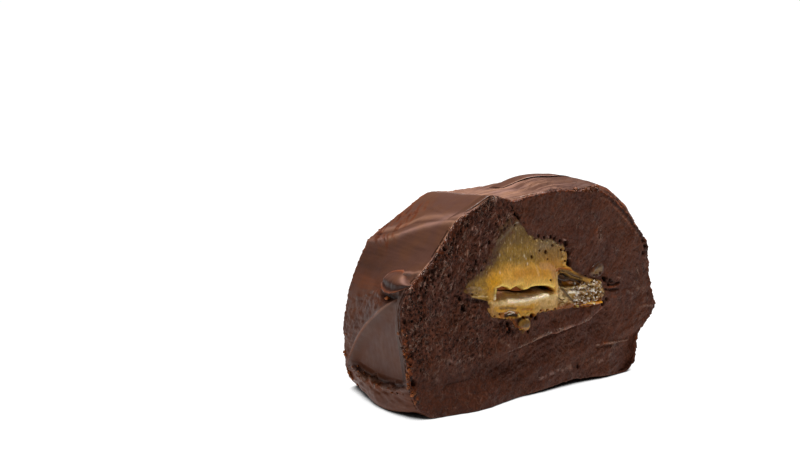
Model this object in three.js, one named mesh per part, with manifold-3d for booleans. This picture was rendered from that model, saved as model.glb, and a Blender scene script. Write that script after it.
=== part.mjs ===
// Hand-cut slice of chocolate fudge with a salted caramel core running through it.
// Millimetres, +Z up, +X along the width of the cut face, +Y from the front cut to the back cut.
// The origin is on the table under the middle of the slice.
import * as THREE from 'three';
import { mergeVertices } from 'three/addons/utils/BufferGeometryUtils.js';
import Module from 'manifold-3d';

const wasm = await Module();
wasm.setup();

// Driving dimensions
const DEPTH = 32;
const FRONT_Y = -14.66;
const SIDE_SHIFT = -0.37;
const CORE_CENTRE = new THREE.Vector2(0, 30);
const CORE_GAP = 0.3;
const RIM_BEVEL = 0.5;
const OUTLINE_SOFTNESS = 0.8;
const CORE_SOFTNESS = 0.5;
const COLUMNS = 104;
const FACE_RINGS = [0.03, 0.09, 0.18, 0.28, 0.38, 0.48, 0.58, 0.68, 0.78, 0.88, 0.95, 1];
const WALL_RINGS = [0, 0.04, 0.1, 0.17, 0.24, 0.31, 0.38, 0.45, 0.52, 0.59, 0.66, 0.73, 0.81, 0.89, 0.96, 1];
const BACK_RINGS = [0.04, 0.2, 0.4, 0.6, 0.8, 1];
const TUNNEL_RINGS = [0.8, 0.6, 0.4, 0.2];
const CAP_RINGS = [1, 0.86, 0.72, 0.58, 0.44, 0.3, 0.15];

const FOOT_FLARE = 2.9;
const FRONT_LIFT = 1.2;
const SCOOP_DEPTH = 1.3;
const SCOOP_TOP = 33.2;
const SCOOP_SLOPE = 0.66;
const SCOOP_DROP = 6.4;
const SCOOP_REACH = 30.7;
const SCOOP_FLOOR = 6.8;
const RIDGE_HEIGHT = 0.5;
const LIP_REACH = 4.2;
const LIP_MIDDLE = 14;
const LIP_SPAN = 17.5;
const HUMP_HEIGHT = 2.2;
const SHOULDER_BULGE = 1.7;
const FLAP_THICKNESS = 0.9;
const FOLD_STEP = 1.0;
const FOLD_BROW = 0.4;
const FRONT_WAVE = 0.25;
const BACK_WAVE = 0.3;
const CORE_NARROWING = 0.22;
const CORE_TWIST = 0.1;
const CORE_SHIFT = new THREE.Vector2(2.5, -2.0);
const CORE_BULGE = 0.9;
const CORE_LIP = 0.7;
const SLOT_DEPTH = 3.5;
const STREAK_DEPTH = 4;
const STREAK_GAP = 0.6;
const CUT_CLEARANCE = 5;

// Where the forms of the relief start and end: each pair is a slope, from nothing to all of it
const FOOT = { middle: -21, width: 13, top: [0, 10] };
const LIFT = { middle: 13, width: 11, back: [0, 5], top: [0, 3] };
const FOLD = {
  height: 14, slope: 0.18, upturn: 1.6, upturned: [17, 23], left: [-18, -12], right: [21, 27],
  edge: [0, 1.4], below: [2, 9], browAt: -1, browWidth: 1.6,
};
const SCOOP = { crest: [0, 5], floor: [SCOOP_FLOOR, SCOOP_FLOOR + 1.2], back: [0, 4], front: [0, 5] };
const RIDGE = { width: 1.4, front: [0, 3], back: [28, 31] };
const LIP = {
  rise: 2.1, slope: 0.28, curve: 0.0078, front: [0, 3], foot: [0, 2.6],
  crisp: [SCOOP_FLOOR - 0.8, SCOOP_FLOOR], round: [1, SCOOP_FLOOR - 0.6],
};
const HUMP = { left: [4, 14], right: [30, 38], fullness: 1.2 };
const SHOULDER = { left: [17, 25], right: [33, 38], front: [0, 2.5], back: [6, 22] };
const FLAP = { left: [5, 11], right: [24, 31], front: 21, slant: 0.28, edge: 0.8, back: [24, 31] };

// The slice outline, anticlockwise seen from the back: [front x, front z, back x, back z]
const OUTLINE = [
  [-33.2, 0.0, -33.6, 0.0], [-36.4, 2.6, -36.1, 3.0], [-38.2, 7.0, -37.0, 7.5],
  [-39.4, 15.3, -37.1, 12.5], [-41.0, 22.0, -37.4, 16.4], [-40.4, 29.0, -36.6, 21.5],
  [-38.8, 32.9, -35.8, 25.7], [-31.8, 39.4, -32.9, 32.9], [-24.6, 48.2, -29.6, 38.4],
  [-16.8, 51.6, -19.9, 44.0], [-13.7, 53.1, -11.4, 48.9], [-7.8, 51.0, -3.0, 48.0],
  [0.0, 51.9, 3.0, 48.3], [7.2, 52.4, 10.0, 48.6], [13.9, 51.2, 17.0, 48.4],
  [19.0, 51.8, 22.0, 47.2], [24.8, 48.5, 27.5, 44.5], [30.6, 43.8, 32.0, 40.0],
  [35.8, 37.6, 35.0, 34.5], [38.4, 34.4, 36.3, 30.0], [38.8, 27.2, 37.0, 24.0],
  [40.4, 21.2, 37.6, 18.5], [42.0, 16.9, 37.8, 14.5], [39.0, 13.6, 37.2, 11.0],
  [35.8, 10.2, 36.6, 8.0], [35.4, 6.0, 36.2, 5.0], [35.3, 2.0, 35.2, 1.4],
  [32.3, 0.0, 33.0, 0.0], [20.0, 0.0, 20.0, 0.0], [-18.0, 0.0, -18.0, 0.0],
];

// The caramel outline on the front cut, [x, z]
const CORE_OUTLINE = [
  [-5.8, 45.8], [-4.2, 44.0], [-3.2, 42.2], [-0.6, 40.8], [4.4, 39.8], [8.7, 37.9],
  [10.1, 34.9], [9.6, 32.4], [12.5, 31.0], [16.0, 28.6], [21.5, 27.0], [22.8, 23.5],
  [21.7, 20.6], [16.9, 20.3], [9.8, 21.0], [2.0, 21.4], [-1.2, 20.2], [-2.0, 18.0],
  [-4.0, 17.1], [-6.2, 18.4], [-7.8, 20.8], [-14.0, 22.4], [-15.6, 24.6], [-15.2, 26.8],
  [-20.0, 28.3], [-22.9, 30.2], [-21.0, 32.6], [-16.6, 34.8], [-14.0, 38.0],
  [-13.2, 41.2], [-9.5, 44.4],
];

// The hollow pulled open in the caramel, and the small second streak of it, [x, z]
const SLOT_OUTLINE = [
  [-12.7, 28.6], [-9.9, 29.0], [-5.1, 28.9], [1.3, 28.4], [6.0, 27.2], [4.7, 26.2],
  [0.1, 25.7], [-5.0, 25.2], [-8.2, 26.0], [-12.2, 27.0],
];
const STREAK_OUTLINE = [
  [18.5, 30.7], [20.2, 31.6], [21.7, 32.0], [22.8, 30.4], [22.5, 29.1], [21.4, 28.7],
  [18.9, 28.8], [17.8, 29.3],
];

const smooth = THREE.MathUtils.smoothstep;
const lerp = THREE.MathUtils.lerp;
const bell = (x, centre, width) => Math.exp(-(((x - centre) / width) ** 2));
const after = (x, slope) => smooth(x, slope[0], slope[1]);
const before = (x, slope) => 1 - after(x, slope);
const backY = FRONT_Y + DEPTH;

// Points along a closed outline of n numbers a point, one for about every step, then blurred
function softened(points, step, softness) {
  const fine = [];
  points.forEach((a, i) => {
    const b = points[(i + 1) % points.length];
    const count = Math.max(1, Math.round(Math.hypot(b[0] - a[0], b[1] - a[1]) / step));
    for (let k = 0; k < count; k += 1) {
      fine.push(a.map((value, axis) => lerp(value, b[axis], k / count)));
    }
  });
  const reach = Math.round((3 * softness) / step);
  return fine.map((point, i) => {
    const sum = point.map(() => 0);
    let total = 0;
    for (let k = -reach; k <= reach; k += 1) {
      const near = fine[(i + k + fine.length) % fine.length];
      const weight = bell(k * step, 0, softness * Math.SQRT2);
      total += weight;
      near.forEach((value, axis) => { sum[axis] += value * weight; });
    }
    return sum.map((value) => value / total);
  });
}

// The outline cut into equal lengths, as columns that each hold their front and back points
function outlineColumns() {
  const fine = softened(OUTLINE, 0.3, OUTLINE_SOFTNESS);
  const lengths = [0];
  fine.forEach((a, i) => {
    const b = fine[(i + 1) % fine.length];
    lengths.push(lengths[i] + Math.hypot(b[0] - a[0], b[1] - a[1]));
  });
  const columns = [];
  let at = 0;
  for (let c = 0; c < COLUMNS; c += 1) {
    const target = (lengths[fine.length] * c) / COLUMNS;
    while (lengths[at + 1] < target) at += 1;
    const share = (target - lengths[at]) / (lengths[at + 1] - lengths[at]);
    const next = fine[(at + 1) % fine.length];
    const point = fine[at].map((value, axis) => lerp(value, next[axis], share));
    columns.push({
      front: new THREE.Vector2(point[0], point[1]),
      back: new THREE.Vector2(point[2], point[3]),
    });
  }
  return columns;
}

// Distance from the core's centre to the caramel outline along an angle
function coreRadius(outline, angle) {
  const ray = new THREE.Vector2(Math.cos(angle), Math.sin(angle));
  let radius = 0;
  outline.forEach((start, i) => {
    const end = outline[(i + 1) % outline.length];
    const ax = start[0] - CORE_CENTRE.x;
    const az = start[1] - CORE_CENTRE.y;
    const dx = end[0] - start[0];
    const dz = end[1] - start[1];
    const across = ray.x * dz - ray.y * dx;
    const along = (ax * dz - az * dx) / across;
    const share = (ax * ray.y - az * ray.x) / across;
    if (share >= 0 && share <= 1 && along > radius) radius = along;
  });
  return radius;
}

// Where the caramel runs: its outline narrows and rolls a little on the way to the back cut
function corePoint(column, depth, grow) {
  const share = depth / DEPTH;
  const waist = 1 - CORE_NARROWING * share + CORE_TWIST * Math.sin(3 * column.angle + 2) * share;
  const radius = column.radius * waist + grow;
  return new THREE.Vector2(
    CORE_CENTRE.x + CORE_SHIFT.x * share + radius * Math.cos(column.angle),
    CORE_CENTRE.y + CORE_SHIFT.y * share + radius * Math.sin(column.angle),
  );
}

// How far the front cut stands forward of its plane: the spread foot, and the step under the fold
function frontRelief(x, z) {
  const foot = FOOT_FLARE * bell(x, FOOT.middle, FOOT.width) * before(z, FOOT.top);
  const foldLine = FOLD.height + FOLD.slope * x + FOLD.upturn * after(x, FOLD.upturned);
  const foldReach = after(x, FOLD.left) * before(x, FOLD.right);
  const under = foldLine - z;
  const step = FOLD_STEP * after(under, FOLD.edge) * before(under, FOLD.below) * foldReach;
  const brow = FOLD_BROW * bell(under, FOLD.browAt, FOLD.browWidth) * foldReach;
  const unevenness = FRONT_WAVE * Math.sin(0.31 * x + 0.4) * Math.sin(0.27 * z + 1);
  return foot - step + brow + unevenness;
}

// How far the back cut stands back of its plane: two crossed waves
function backRelief(x, z) {
  return BACK_WAVE * Math.sin(0.21 * x + 1) * Math.sin(0.24 * z);
}

// The crest of the smooth scoop on the left side, as a height for each depth behind the cut
function scoopCrest(depth) {
  return SCOOP_TOP - SCOOP_SLOPE * depth - SCOOP_DROP * (depth / SCOOP_REACH) ** 5;
}

// How much higher the lip's edge lies at the front and at the back: a hanging curve
function lipRise(depth) {
  return LIP.rise - LIP.slope * depth + LIP.curve * depth ** 2;
}

// How far the left side stands out: a scoop with a sharp crest, over a rolled lip at the foot
function leftRelief(depth, z) {
  const crest = scoopCrest(depth);
  const above = z - lipRise(depth);
  const inside = after(crest - z, SCOOP.crest) * after(above, SCOOP.floor)
    * after(SCOOP_REACH - depth, SCOOP.back) * after(depth, SCOOP.front);
  const ridge = bell(z, crest, RIDGE.width) * after(depth, RIDGE.front) * before(depth, RIDGE.back);
  const away = Math.min(Math.abs(depth - LIP_MIDDLE) / LIP_SPAN, 1);
  const lipAlong = Math.cos((Math.PI / 2) * away) ** 2 * after(depth, LIP.front);
  const lipUp = lerp(before(above, LIP.crisp), before(above, LIP.round), 0.7);
  const lip = LIP_REACH * lipAlong * lipUp * lerp(0.1, 1, after(z, LIP.foot));
  return RIDGE_HEIGHT * ridge - SCOOP_DEPTH * inside + lip;
}

// How far the top stands up: a low hump, with a thin flap of skin folded over on it
function topRelief(x, depth) {
  const arch = Math.sin(Math.PI * Math.min(depth / DEPTH, 1)) ** HUMP.fullness;
  const hump = HUMP_HEIGHT * after(x, HUMP.left) * before(x, HUMP.right) * arch;
  const shoulder = SHOULDER_BULGE * after(x, SHOULDER.left) * before(x, SHOULDER.right)
    * after(depth, SHOULDER.front) * before(depth, SHOULDER.back);
  const overlap = depth - (FLAP.front - FLAP.slant * x);
  const flap = FLAP_THICKNESS * after(x, FLAP.left) * before(x, FLAP.right)
    * after(overlap, [-FLAP.edge, FLAP.edge]) * before(depth, FLAP.back);
  return hump + shoulder + flap;
}

// A point of the skin, at a share of the way from the front cut to the back cut
function wallPoint(columns, index, share) {
  const at = (i) => {
    const column = columns[(i + COLUMNS) % COLUMNS];
    return column.front.clone().lerp(column.back, share);
  };
  const base = at(index);
  const along = at(index + 1).sub(at(index - 1)).normalize();
  const outward = new THREE.Vector2(-along.y, along.x);
  const depth = DEPTH * share;
  const left = smooth(-outward.x, 0.35, 0.8) * leftRelief(depth, base.y);
  const top = smooth(outward.y, 0.2, 0.7) * topRelief(base.x, depth);
  const point = base.clone().addScaledVector(outward, left + top);
  const low = before(depth, LIFT.back) * before(point.y, LIFT.top);
  const lift = FRONT_LIFT * bell(point.x, LIFT.middle, LIFT.width) * low;
  const z = Math.max(0, point.y) + lift;
  const frontY = FRONT_Y + RIM_BEVEL - frontRelief(base.x, base.y);
  return [point.x, lerp(frontY, backY - RIM_BEVEL, share), z < 0.02 ? 0 : z];
}

// A ring of the front cut, between the rim and the caramel
function frontRing(columns, rim, share) {
  return columns.map((column, i) => {
    const inner = corePoint(column, 0, CORE_GAP);
    const x = lerp(rim[i][0], inner.x, share);
    const z = lerp(rim[i][2], inner.y, share);
    return [x, FRONT_Y - frontRelief(x, z), z];
  });
}

// A ring of the back cut, between the rim and the caramel
function backRing(columns, rim, share) {
  return columns.map((column, i) => {
    const inner = corePoint(column, DEPTH, CORE_GAP);
    const x = lerp(rim[i][0], inner.x, share);
    const z = lerp(rim[i][2], inner.y, share);
    return [x, backY + backRelief(x, z), z];
  });
}

// Rings of points joined into a surface; rolled joins the last ring to the first
function ringSurface(rings, rolled) {
  const positions = rings.flat(2);
  const index = [];
  const count = rings[0].length;
  const last = rolled ? rings.length : rings.length - 1;
  for (let r = 0; r < last; r += 1) {
    for (let c = 0; c < count; c += 1) {
      const a = r * count + c;
      const b = r * count + ((c + 1) % count);
      const d = ((r + 1) % rings.length) * count + c;
      const e = ((r + 1) % rings.length) * count + ((c + 1) % count);
      index.push(a, b, d, b, e, d);
    }
  }
  return { positions, index };
}

function geometryOf({ positions, index }) {
  const geometry = new THREE.BufferGeometry();
  geometry.setAttribute('position', new THREE.Float32BufferAttribute(positions, 3));
  geometry.setIndex(index);
  return geometry;
}

// Fudge: front cut, skin, back cut and the tunnel that the caramel fills, as one rolled surface
function fudgeGeometry(columns) {
  const wall = WALL_RINGS.map((share) => columns.map((_, i) => wallPoint(columns, i, share)));
  const front = FACE_RINGS.map((share) => frontRing(columns, wall[0], share)).reverse();
  const back = BACK_RINGS.map((share) => backRing(columns, wall[wall.length - 1], share));
  const tunnel = TUNNEL_RINGS.map((share) => columns.map((column) => {
    const point = corePoint(column, DEPTH * share, CORE_GAP);
    return [point.x, lerp(FRONT_Y, backY, share), point.y];
  }));
  return geometryOf(ringSurface([...front, ...wall, ...back, ...tunnel], true));
}

// How far the caramel stands forward on the front cut: it bulges over the slot and the lower lip
function coreRelief(x, z) {
  const bulge = CORE_BULGE * bell(z, 31.5, 4);
  const lip = CORE_LIP * bell(z, 23.6, 1.8);
  return frontRelief(x, z) + (bulge + lip) * bell(x, -3, 9);
}

// Caramel: a bar of the caramel outline with domed ends
function coreGeometry(columns) {
  const cap = (depth, y) => CAP_RINGS.map((share) => columns.map((column) => {
    const edge = corePoint(column, depth, 0);
    const centre = corePoint({ angle: 0, radius: 0 }, depth, 0);
    const x = lerp(centre.x, edge.x, share);
    const z = lerp(centre.y, edge.y, share);
    return [x, y(x, z), z];
  }));
  const front = cap(0, (x, z) => FRONT_Y - coreRelief(x, z)).reverse();
  const side = [...TUNNEL_RINGS].reverse().map((share) => columns.map((column) => {
    const point = corePoint(column, DEPTH * share, 0);
    return [point.x, lerp(FRONT_Y, backY, share), point.y];
  }));
  const back = cap(DEPTH, (x, z) => backY + backRelief(x, z));
  const surface = ringSurface([...front, ...side, ...back], false);
  const lastRing = (surface.positions.length / 3) - COLUMNS;
  const frontTip = surface.positions.length / 3;
  const tip = (depth, y) => {
    const centre = corePoint({ angle: 0, radius: 0 }, depth, 0);
    surface.positions.push(centre.x, y(centre.x, centre.y), centre.y);
  };
  tip(0, (x, z) => FRONT_Y - coreRelief(x, z));
  tip(DEPTH, () => backY);
  for (let c = 0; c < COLUMNS; c += 1) {
    const next = (c + 1) % COLUMNS;
    surface.index.push(frontTip, next, c);
    surface.index.push(frontTip + 1, lastRing + c, lastRing + next);
  }
  return geometryOf(surface);
}

// A prism of an outline, from one y to another
function prism(outline, fromY, toY) {
  const shape = new THREE.Shape(outline.map(([x, z]) => new THREE.Vector2(x, z)));
  const geometry = new THREE.ExtrudeGeometry(shape, { depth: toY - fromY, bevelEnabled: false });
  geometry.rotateX(Math.PI / 2);
  geometry.translate(0, toY, 0);
  return geometry;
}

function toSolid(geometry) {
  const bare = geometry.clone();
  bare.deleteAttribute('normal');
  bare.deleteAttribute('uv');
  const merged = mergeVertices(bare, 1e-4);
  return new wasm.Manifold(new wasm.Mesh({
    numProp: 3,
    vertProperties: new Float32Array(merged.attributes.position.array),
    triVerts: new Uint32Array(merged.index.array),
  }));
}

function toGeometry(solid) {
  const mesh = solid.getMesh();
  const geometry = new THREE.BufferGeometry();
  geometry.setAttribute('position', new THREE.BufferAttribute(mesh.vertProperties, 3));
  geometry.setIndex(new THREE.BufferAttribute(mesh.triVerts, 1));
  geometry.computeVertexNormals();
  return geometry;
}

// An outline grown about its own middle, for the pocket round an inlaid piece
function grown(outline, by) {
  const middle = outline.reduce((sum, [x, z]) => [sum[0] + x, sum[1] + z], [0, 0])
    .map((value) => value / outline.length);
  return outline.map(([x, z]) => {
    const out = new THREE.Vector2(x - middle[0], z - middle[1]);
    out.setLength(out.length() + by);
    return [middle[0] + out.x, middle[1] + out.y];
  });
}

function makeColumns() {
  const outline = softened(CORE_OUTLINE, 0.2, CORE_SOFTNESS);
  const columns = outlineColumns();
  columns.forEach((column) => {
    column.angle = Math.atan2(column.front.y - CORE_CENTRE.y, column.front.x - CORE_CENTRE.x);
    column.radius = coreRadius(outline, column.angle);
  });
  return columns;
}

function addPiece(group, name, geometry, look) {
  const mesh = new THREE.Mesh(geometry, new THREE.MeshStandardMaterial(look));
  mesh.name = name;
  mesh.position.x = SIDE_SHIFT;
  group.add(mesh);
}

const columns = makeColumns();
const streakY = FRONT_Y + STREAK_DEPTH;
const pocket = prism(grown(STREAK_OUTLINE, STREAK_GAP), FRONT_Y - CUT_CLEARANCE, streakY + CORE_GAP);
const fudge = toSolid(fudgeGeometry(columns)).subtract(toSolid(pocket));
const slot = prism(SLOT_OUTLINE, FRONT_Y - CUT_CLEARANCE, FRONT_Y + SLOT_DEPTH);
const core = toSolid(coreGeometry(columns)).subtract(toSolid(slot));

const slice = new THREE.Group();
addPiece(slice, 'fudge', toGeometry(fudge), { color: '#432a1f', roughness: 0.55, metalness: 0 });
addPiece(slice, 'caramel_core', toGeometry(core), { color: '#a5742c', roughness: 0.3, metalness: 0 });
addPiece(slice, 'caramel_streak', prism(STREAK_OUTLINE, FRONT_Y, streakY),
  { color: '#6b4a20', roughness: 0.35, metalness: 0 });

export default slice;
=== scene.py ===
"""A hand-cut slice of chocolate fudge with a salted caramel core, dressed over its solids.

A shape is worked out in millimetres: x along the width of the cut face, d the depth behind
the front cut, and z up from the table. It goes into its mesh in metres, in the frame's axes.
"""
import logging
import math
from dataclasses import dataclass, field
from enum import Enum

import bpy
import numpy as np
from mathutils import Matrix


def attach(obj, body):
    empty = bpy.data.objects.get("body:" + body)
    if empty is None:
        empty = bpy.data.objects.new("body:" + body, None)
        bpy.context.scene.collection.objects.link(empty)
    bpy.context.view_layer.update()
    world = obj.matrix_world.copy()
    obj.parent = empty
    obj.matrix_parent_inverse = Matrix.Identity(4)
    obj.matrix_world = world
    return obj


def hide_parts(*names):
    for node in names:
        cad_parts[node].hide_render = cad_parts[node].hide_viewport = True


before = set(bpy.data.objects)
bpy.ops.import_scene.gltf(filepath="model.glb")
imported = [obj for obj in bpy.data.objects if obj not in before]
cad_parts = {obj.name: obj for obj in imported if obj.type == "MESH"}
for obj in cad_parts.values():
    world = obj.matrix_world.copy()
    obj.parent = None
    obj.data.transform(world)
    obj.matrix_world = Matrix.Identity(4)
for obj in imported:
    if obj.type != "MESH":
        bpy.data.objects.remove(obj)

Array = np.ndarray
Socket = bpy.types.NodeSocket
LOG = logging.getLogger("slice")
MM = 0.001

# What a point of the fudge is marked with, and the marks that its material reads
# Three of these marks paint light into the colour: a highlight, shade in creases and hollows, and shade in
# pits
MARKS = ("cut", "porous", "crease_and_shade", "amber", "painted_highlight", "stain", "pit_shade")
READ_MARKS = ("cut", "porous", "painted_highlight")

# The slice's own sizes in millimetres, as its solids have them
DEPTH = 32.0
FRONT_Y = -14.66
SIDE_SHIFT = -0.37
CORE_CENTRE = (0.0, 30.0)
RIM_BEVEL = 0.5
# Points lower than this rest on the table and stay there
RESTING = 0.02
# Columns of a form that places are only looked up on
COARSE_COLUMNS = 600

# Both cuts' outlines, clockwise from the foot's left: front x, front z, back x, back z
OUTLINE = (
    (-33.2, 0.0, -33.6, 0.0), (-36.4, 2.6, -36.1, 3.0), (-38.2, 7.0, -37.0, 7.5),
    (-39.4, 15.3, -37.1, 12.5), (-41.0, 22.0, -37.4, 16.4), (-40.4, 29.0, -36.6, 21.5),
    (-38.8, 32.9, -35.8, 25.7), (-31.8, 39.4, -32.9, 32.9), (-24.6, 48.2, -29.6, 38.4),
    (-16.8, 51.6, -19.9, 44.0), (-13.7, 53.1, -11.4, 48.9), (-7.8, 51.0, -3.0, 48.0),
    (0.0, 51.9, 3.0, 48.3), (7.2, 52.4, 10.0, 48.6), (13.9, 51.2, 17.0, 48.4),
    (19.0, 51.8, 22.0, 47.2), (24.8, 48.5, 27.5, 44.5), (30.6, 43.8, 32.0, 40.0),
    (35.8, 37.6, 35.0, 34.5), (38.4, 34.4, 36.3, 30.0), (38.8, 27.2, 37.0, 24.0),
    (40.4, 21.2, 37.6, 18.5), (42.0, 16.9, 37.8, 14.5), (39.0, 13.6, 37.2, 11.0),
    (35.8, 10.2, 36.6, 8.0), (35.4, 6.0, 36.2, 5.0), (35.3, 2.0, 35.2, 1.4),
    (32.3, 0.0, 33.0, 0.0), (20.0, 0.0, 20.0, 0.0), (-18.0, 0.0, -18.0, 0.0),
)
CORE_OUTLINE = (
    (-5.8, 45.8), (-4.2, 44.0), (-3.2, 42.2), (-0.6, 40.8), (4.4, 39.8), (8.7, 37.9),
    (10.1, 34.9), (9.6, 32.4), (12.5, 31.0), (16.0, 28.6), (21.5, 27.0), (22.8, 23.5),
    (21.7, 20.6), (16.9, 20.3), (9.8, 21.0), (2.0, 21.4), (-1.2, 20.2), (-2.0, 18.0),
    (-4.0, 17.1), (-6.2, 18.4), (-7.8, 20.8), (-14.0, 22.4), (-15.6, 24.6), (-15.2, 26.8),
    (-20.0, 28.3), (-22.9, 30.2), (-21.0, 32.6), (-16.6, 34.8), (-14.0, 38.0),
    (-13.2, 41.2), (-9.5, 44.4),
)
STREAK_CENTRE = (20.3, 29.8)
STREAK_OUTLINE = (
    (18.5, 30.7), (20.2, 31.6), (21.7, 32.0), (22.8, 30.4), (22.5, 28.9), (21.4, 27.9), (18.9, 27.8),
    (17.4, 29.0),
)


def smooth(x: Array, low: float | Array, high: float | Array) -> Array:
    """Rise from 0 at low to 1 at high, level at both ends: 3t squared less 2t cubed."""
    t = np.clip((x - low) / (high - low), 0.0, 1.0)
    return t * t * (3.0 - 2.0 * t)


def fall(x: Array, high: float | Array, low: float | Array) -> Array:
    """Fall from 1 at high to 0 at low, level at both ends."""
    return 1.0 - smooth(x, high, low)


def plateau(x: Array, *ends: float) -> Array:
    """Rise over the first two of four ends, and fall over the last two."""
    return smooth(x, *ends[:2]) * fall(x, *ends[2:])


def follow(line: tuple, x: Array) -> Array:
    """Read off a broken line, given as its corners, at each x."""
    return np.interp(x, *np.array(line).T)


def bell(x: Array, centre: float, width: float) -> Array:
    """A bump of height 1: e to the minus square of the distance over the width."""
    return np.exp(-(((x - centre) / width) ** 2))


def dome(x: Array, z: Array, centre: tuple, radii: tuple) -> Array:
    """A half ellipsoid of height 1: the root of 1 less both squared distances over their radii."""
    left = 1.0 - ((x - centre[0]) / radii[0]) ** 2 - ((z - centre[1]) / radii[1]) ** 2
    return np.sqrt(np.clip(left, 0.0, 1.0))


def along_line(x: Array, z: Array, line: tuple | list, width: float) -> Array:
    """A soft stroke along a broken line: a bell of the distance to its nearest leg.

    Args:
        x: Places along the width.
        z: Heights.
        line: The line's corners, each as x and z.
        width: Width of the bell, in mm.

    Returns:
        The stroke's strength, 0 to 1.
    """
    nearest = np.full(np.shape(x), np.inf)
    for (ax, az), (bx, bz) in zip(line, line[1:]):
        run = ((x - ax) * (bx - ax) + (z - az) * (bz - az)) / ((bx - ax) ** 2 + (bz - az) ** 2)
        run = np.clip(run, 0.0, 1.0)
        nearest = np.minimum(nearest, np.hypot(x - ax - run * (bx - ax), z - az - run * (bz - az)))
    return bell(nearest, 0.0, width)


def seep(x: Array, z: Array, inside: Array) -> Array:
    """How much caramel shows near the core's edge: a ragged step, wide at the upper left.

    Args:
        x: Places along the width.
        z: Heights.
        inside: Distance inside the core's outline in mm, negative outside it.

    Returns:
        The share of caramel, 0 to 1.
    """
    broad = fall(x, -9, -3) * smooth(z, 27.5, 31)
    ragged = Grain(41).layers(x / 1.1, z / 1.3, 0.5, 3) * (0.7 + 1.6 * broad)
    return smooth(inside + ragged - 0.8 * broad, -0.3 - 2.4 * broad, 0.3 + 2.4 * broad)


def linear(hex_colour: str) -> Array:
    """Turn an sRGB hex colour into linear red, green, blue and alpha.

    Args:
        hex_colour: Six hex digits after a hash.

    Returns:
        The linear colour, each channel 0 to 1.
    """
    channels = [int(hex_colour[i:i + 2], 16) / 255.0 for i in (1, 3, 5)]
    bent = [c / 12.92 if c <= 0.04045 else ((c + 0.055) / 1.055) ** 2.4 for c in channels]
    return np.array([*bent, 1.0])


def coats(base: str, layers: tuple) -> Array:
    """Lay colours over a base: each covers what lies under it by its own share.

    Args:
        base: The lowest colour, as sRGB hex.
        layers: Pairs of an sRGB hex colour and its share at each point, 0 to 1.

    Returns:
        Linear red, green, blue and alpha at each point.
    """
    paint = np.zeros((*np.shape(layers[0][1]), 4)) + linear(base)
    for colour, share in layers:
        cover = np.clip(share, 0.0, 1.0)[..., None]
        paint = paint * (1.0 - cover) + linear(colour) * cover
    return paint


@dataclass(frozen=True)
class Grain:
    """Seeded random relief on a lattice of unit cells, the same on each run."""

    seed: int

    def scatter(self, cells: tuple[Array, ...], salt: int) -> Array:
        """Give each cell its own number from 0 to 1, by mixing the bits of its place.

        Args:
            cells: Whole-number coordinates, one array an axis.
            salt: Which of the cell's numbers is wanted.

        Returns:
            One number a cell.
        """
        mixed = np.full(cells[0].shape, self.seed * 374761393 + salt * 668265263, dtype=np.uint64)
        for cell, prime in zip(cells, (73856093, 19349663, 83492791)):
            mixed ^= (cell.astype(np.int64) + 100000).astype(np.uint64) * np.uint64(prime)
            mixed = (mixed ^ (mixed >> np.uint64(15))) * np.uint64(2246822519)
            mixed &= np.uint64(0xFFFFFFFF)
        mixed ^= mixed >> np.uint64(13)
        mixed = (mixed * np.uint64(3266489917)) & np.uint64(0xFFFFFFFF)
        mixed ^= mixed >> np.uint64(16)
        return mixed.astype(np.float64) / 4294967296.0

    def waves(self, x: Array, y: Array, z: Array) -> Array:
        """Gradient noise: each lattice point's random slope, blended by 6t5 - 15t4 + 10t3.

        Args:
            x: First coordinate, in cells.
            y: Second coordinate, in cells.
            z: Third coordinate, in cells.

        Returns:
            Heights of about -1 to 1.
        """
        x, y, z = np.broadcast_arrays(x, y, z)
        whole = [np.floor(v) for v in (x, y, z)]
        part = [v - w for v, w in zip((x, y, z), whole)]
        blend = [p ** 3 * (p * (p * 6.0 - 15.0) + 10.0) for p in part]
        total = np.zeros(x.shape)
        for corner in np.ndindex(2, 2, 2):
            cells = tuple(w + c for w, c in zip(whole, corner))
            turn = 2.0 * math.pi * self.scatter(cells, 1)
            rise = 2.0 * self.scatter(cells, 2) - 1.0
            flat = np.sqrt(1.0 - rise ** 2)
            slope = (flat * np.cos(turn), flat * np.sin(turn), rise)
            height = sum(s * (p - c) for s, p, c in zip(slope, part, corner))
            weight = np.ones(x.shape)
            for b, c in zip(blend, corner):
                weight *= b if c else 1.0 - b
            total += weight * height
        return 1.7 * total

    def layers(self, x: Array, y: Array, z: Array, count: int) -> Array:
        """Sum of waves, each layer twice as fine and a bit over half as high as the last."""
        total, height = 0.0, 1.0
        for layer in range(count):
            finer = 2.03 ** layer
            total = total + height * Grain(self.seed + layer).waves(x * finer, y * finer, z * finer)
            height *= 0.55
        return total

    def pits(self, u: Array, v: Array, share: float) -> Array:
        """Round pits, at most one a cell: 1 at a pit's floor, falling to 0 at its edge.

        Args:
            u: First coordinate, in cells.
            v: Second coordinate, in cells.
            share: The share of cells that have a pit.

        Returns:
            How deep each point lies in its deepest pit, 0 to 1.
        """
        cell_u, cell_v = np.floor(u), np.floor(v)
        deepest = np.zeros(np.shape(u))
        for step_u, step_v in np.ndindex(3, 3):
            cells = (cell_u + step_u - 1, cell_v + step_v - 1)
            across = u - cells[0] - 0.2 - 0.6 * self.scatter(cells, 3)
            along = v - cells[1] - 0.2 - 0.6 * self.scatter(cells, 4)
            radius = 0.2 + 0.32 * self.scatter(cells, 5)
            deep = fall(np.hypot(across, along) / radius, 0.25, 1.0)
            deepest = np.maximum(deepest, deep * (self.scatter(cells, 6) < share))
        return deepest


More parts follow.
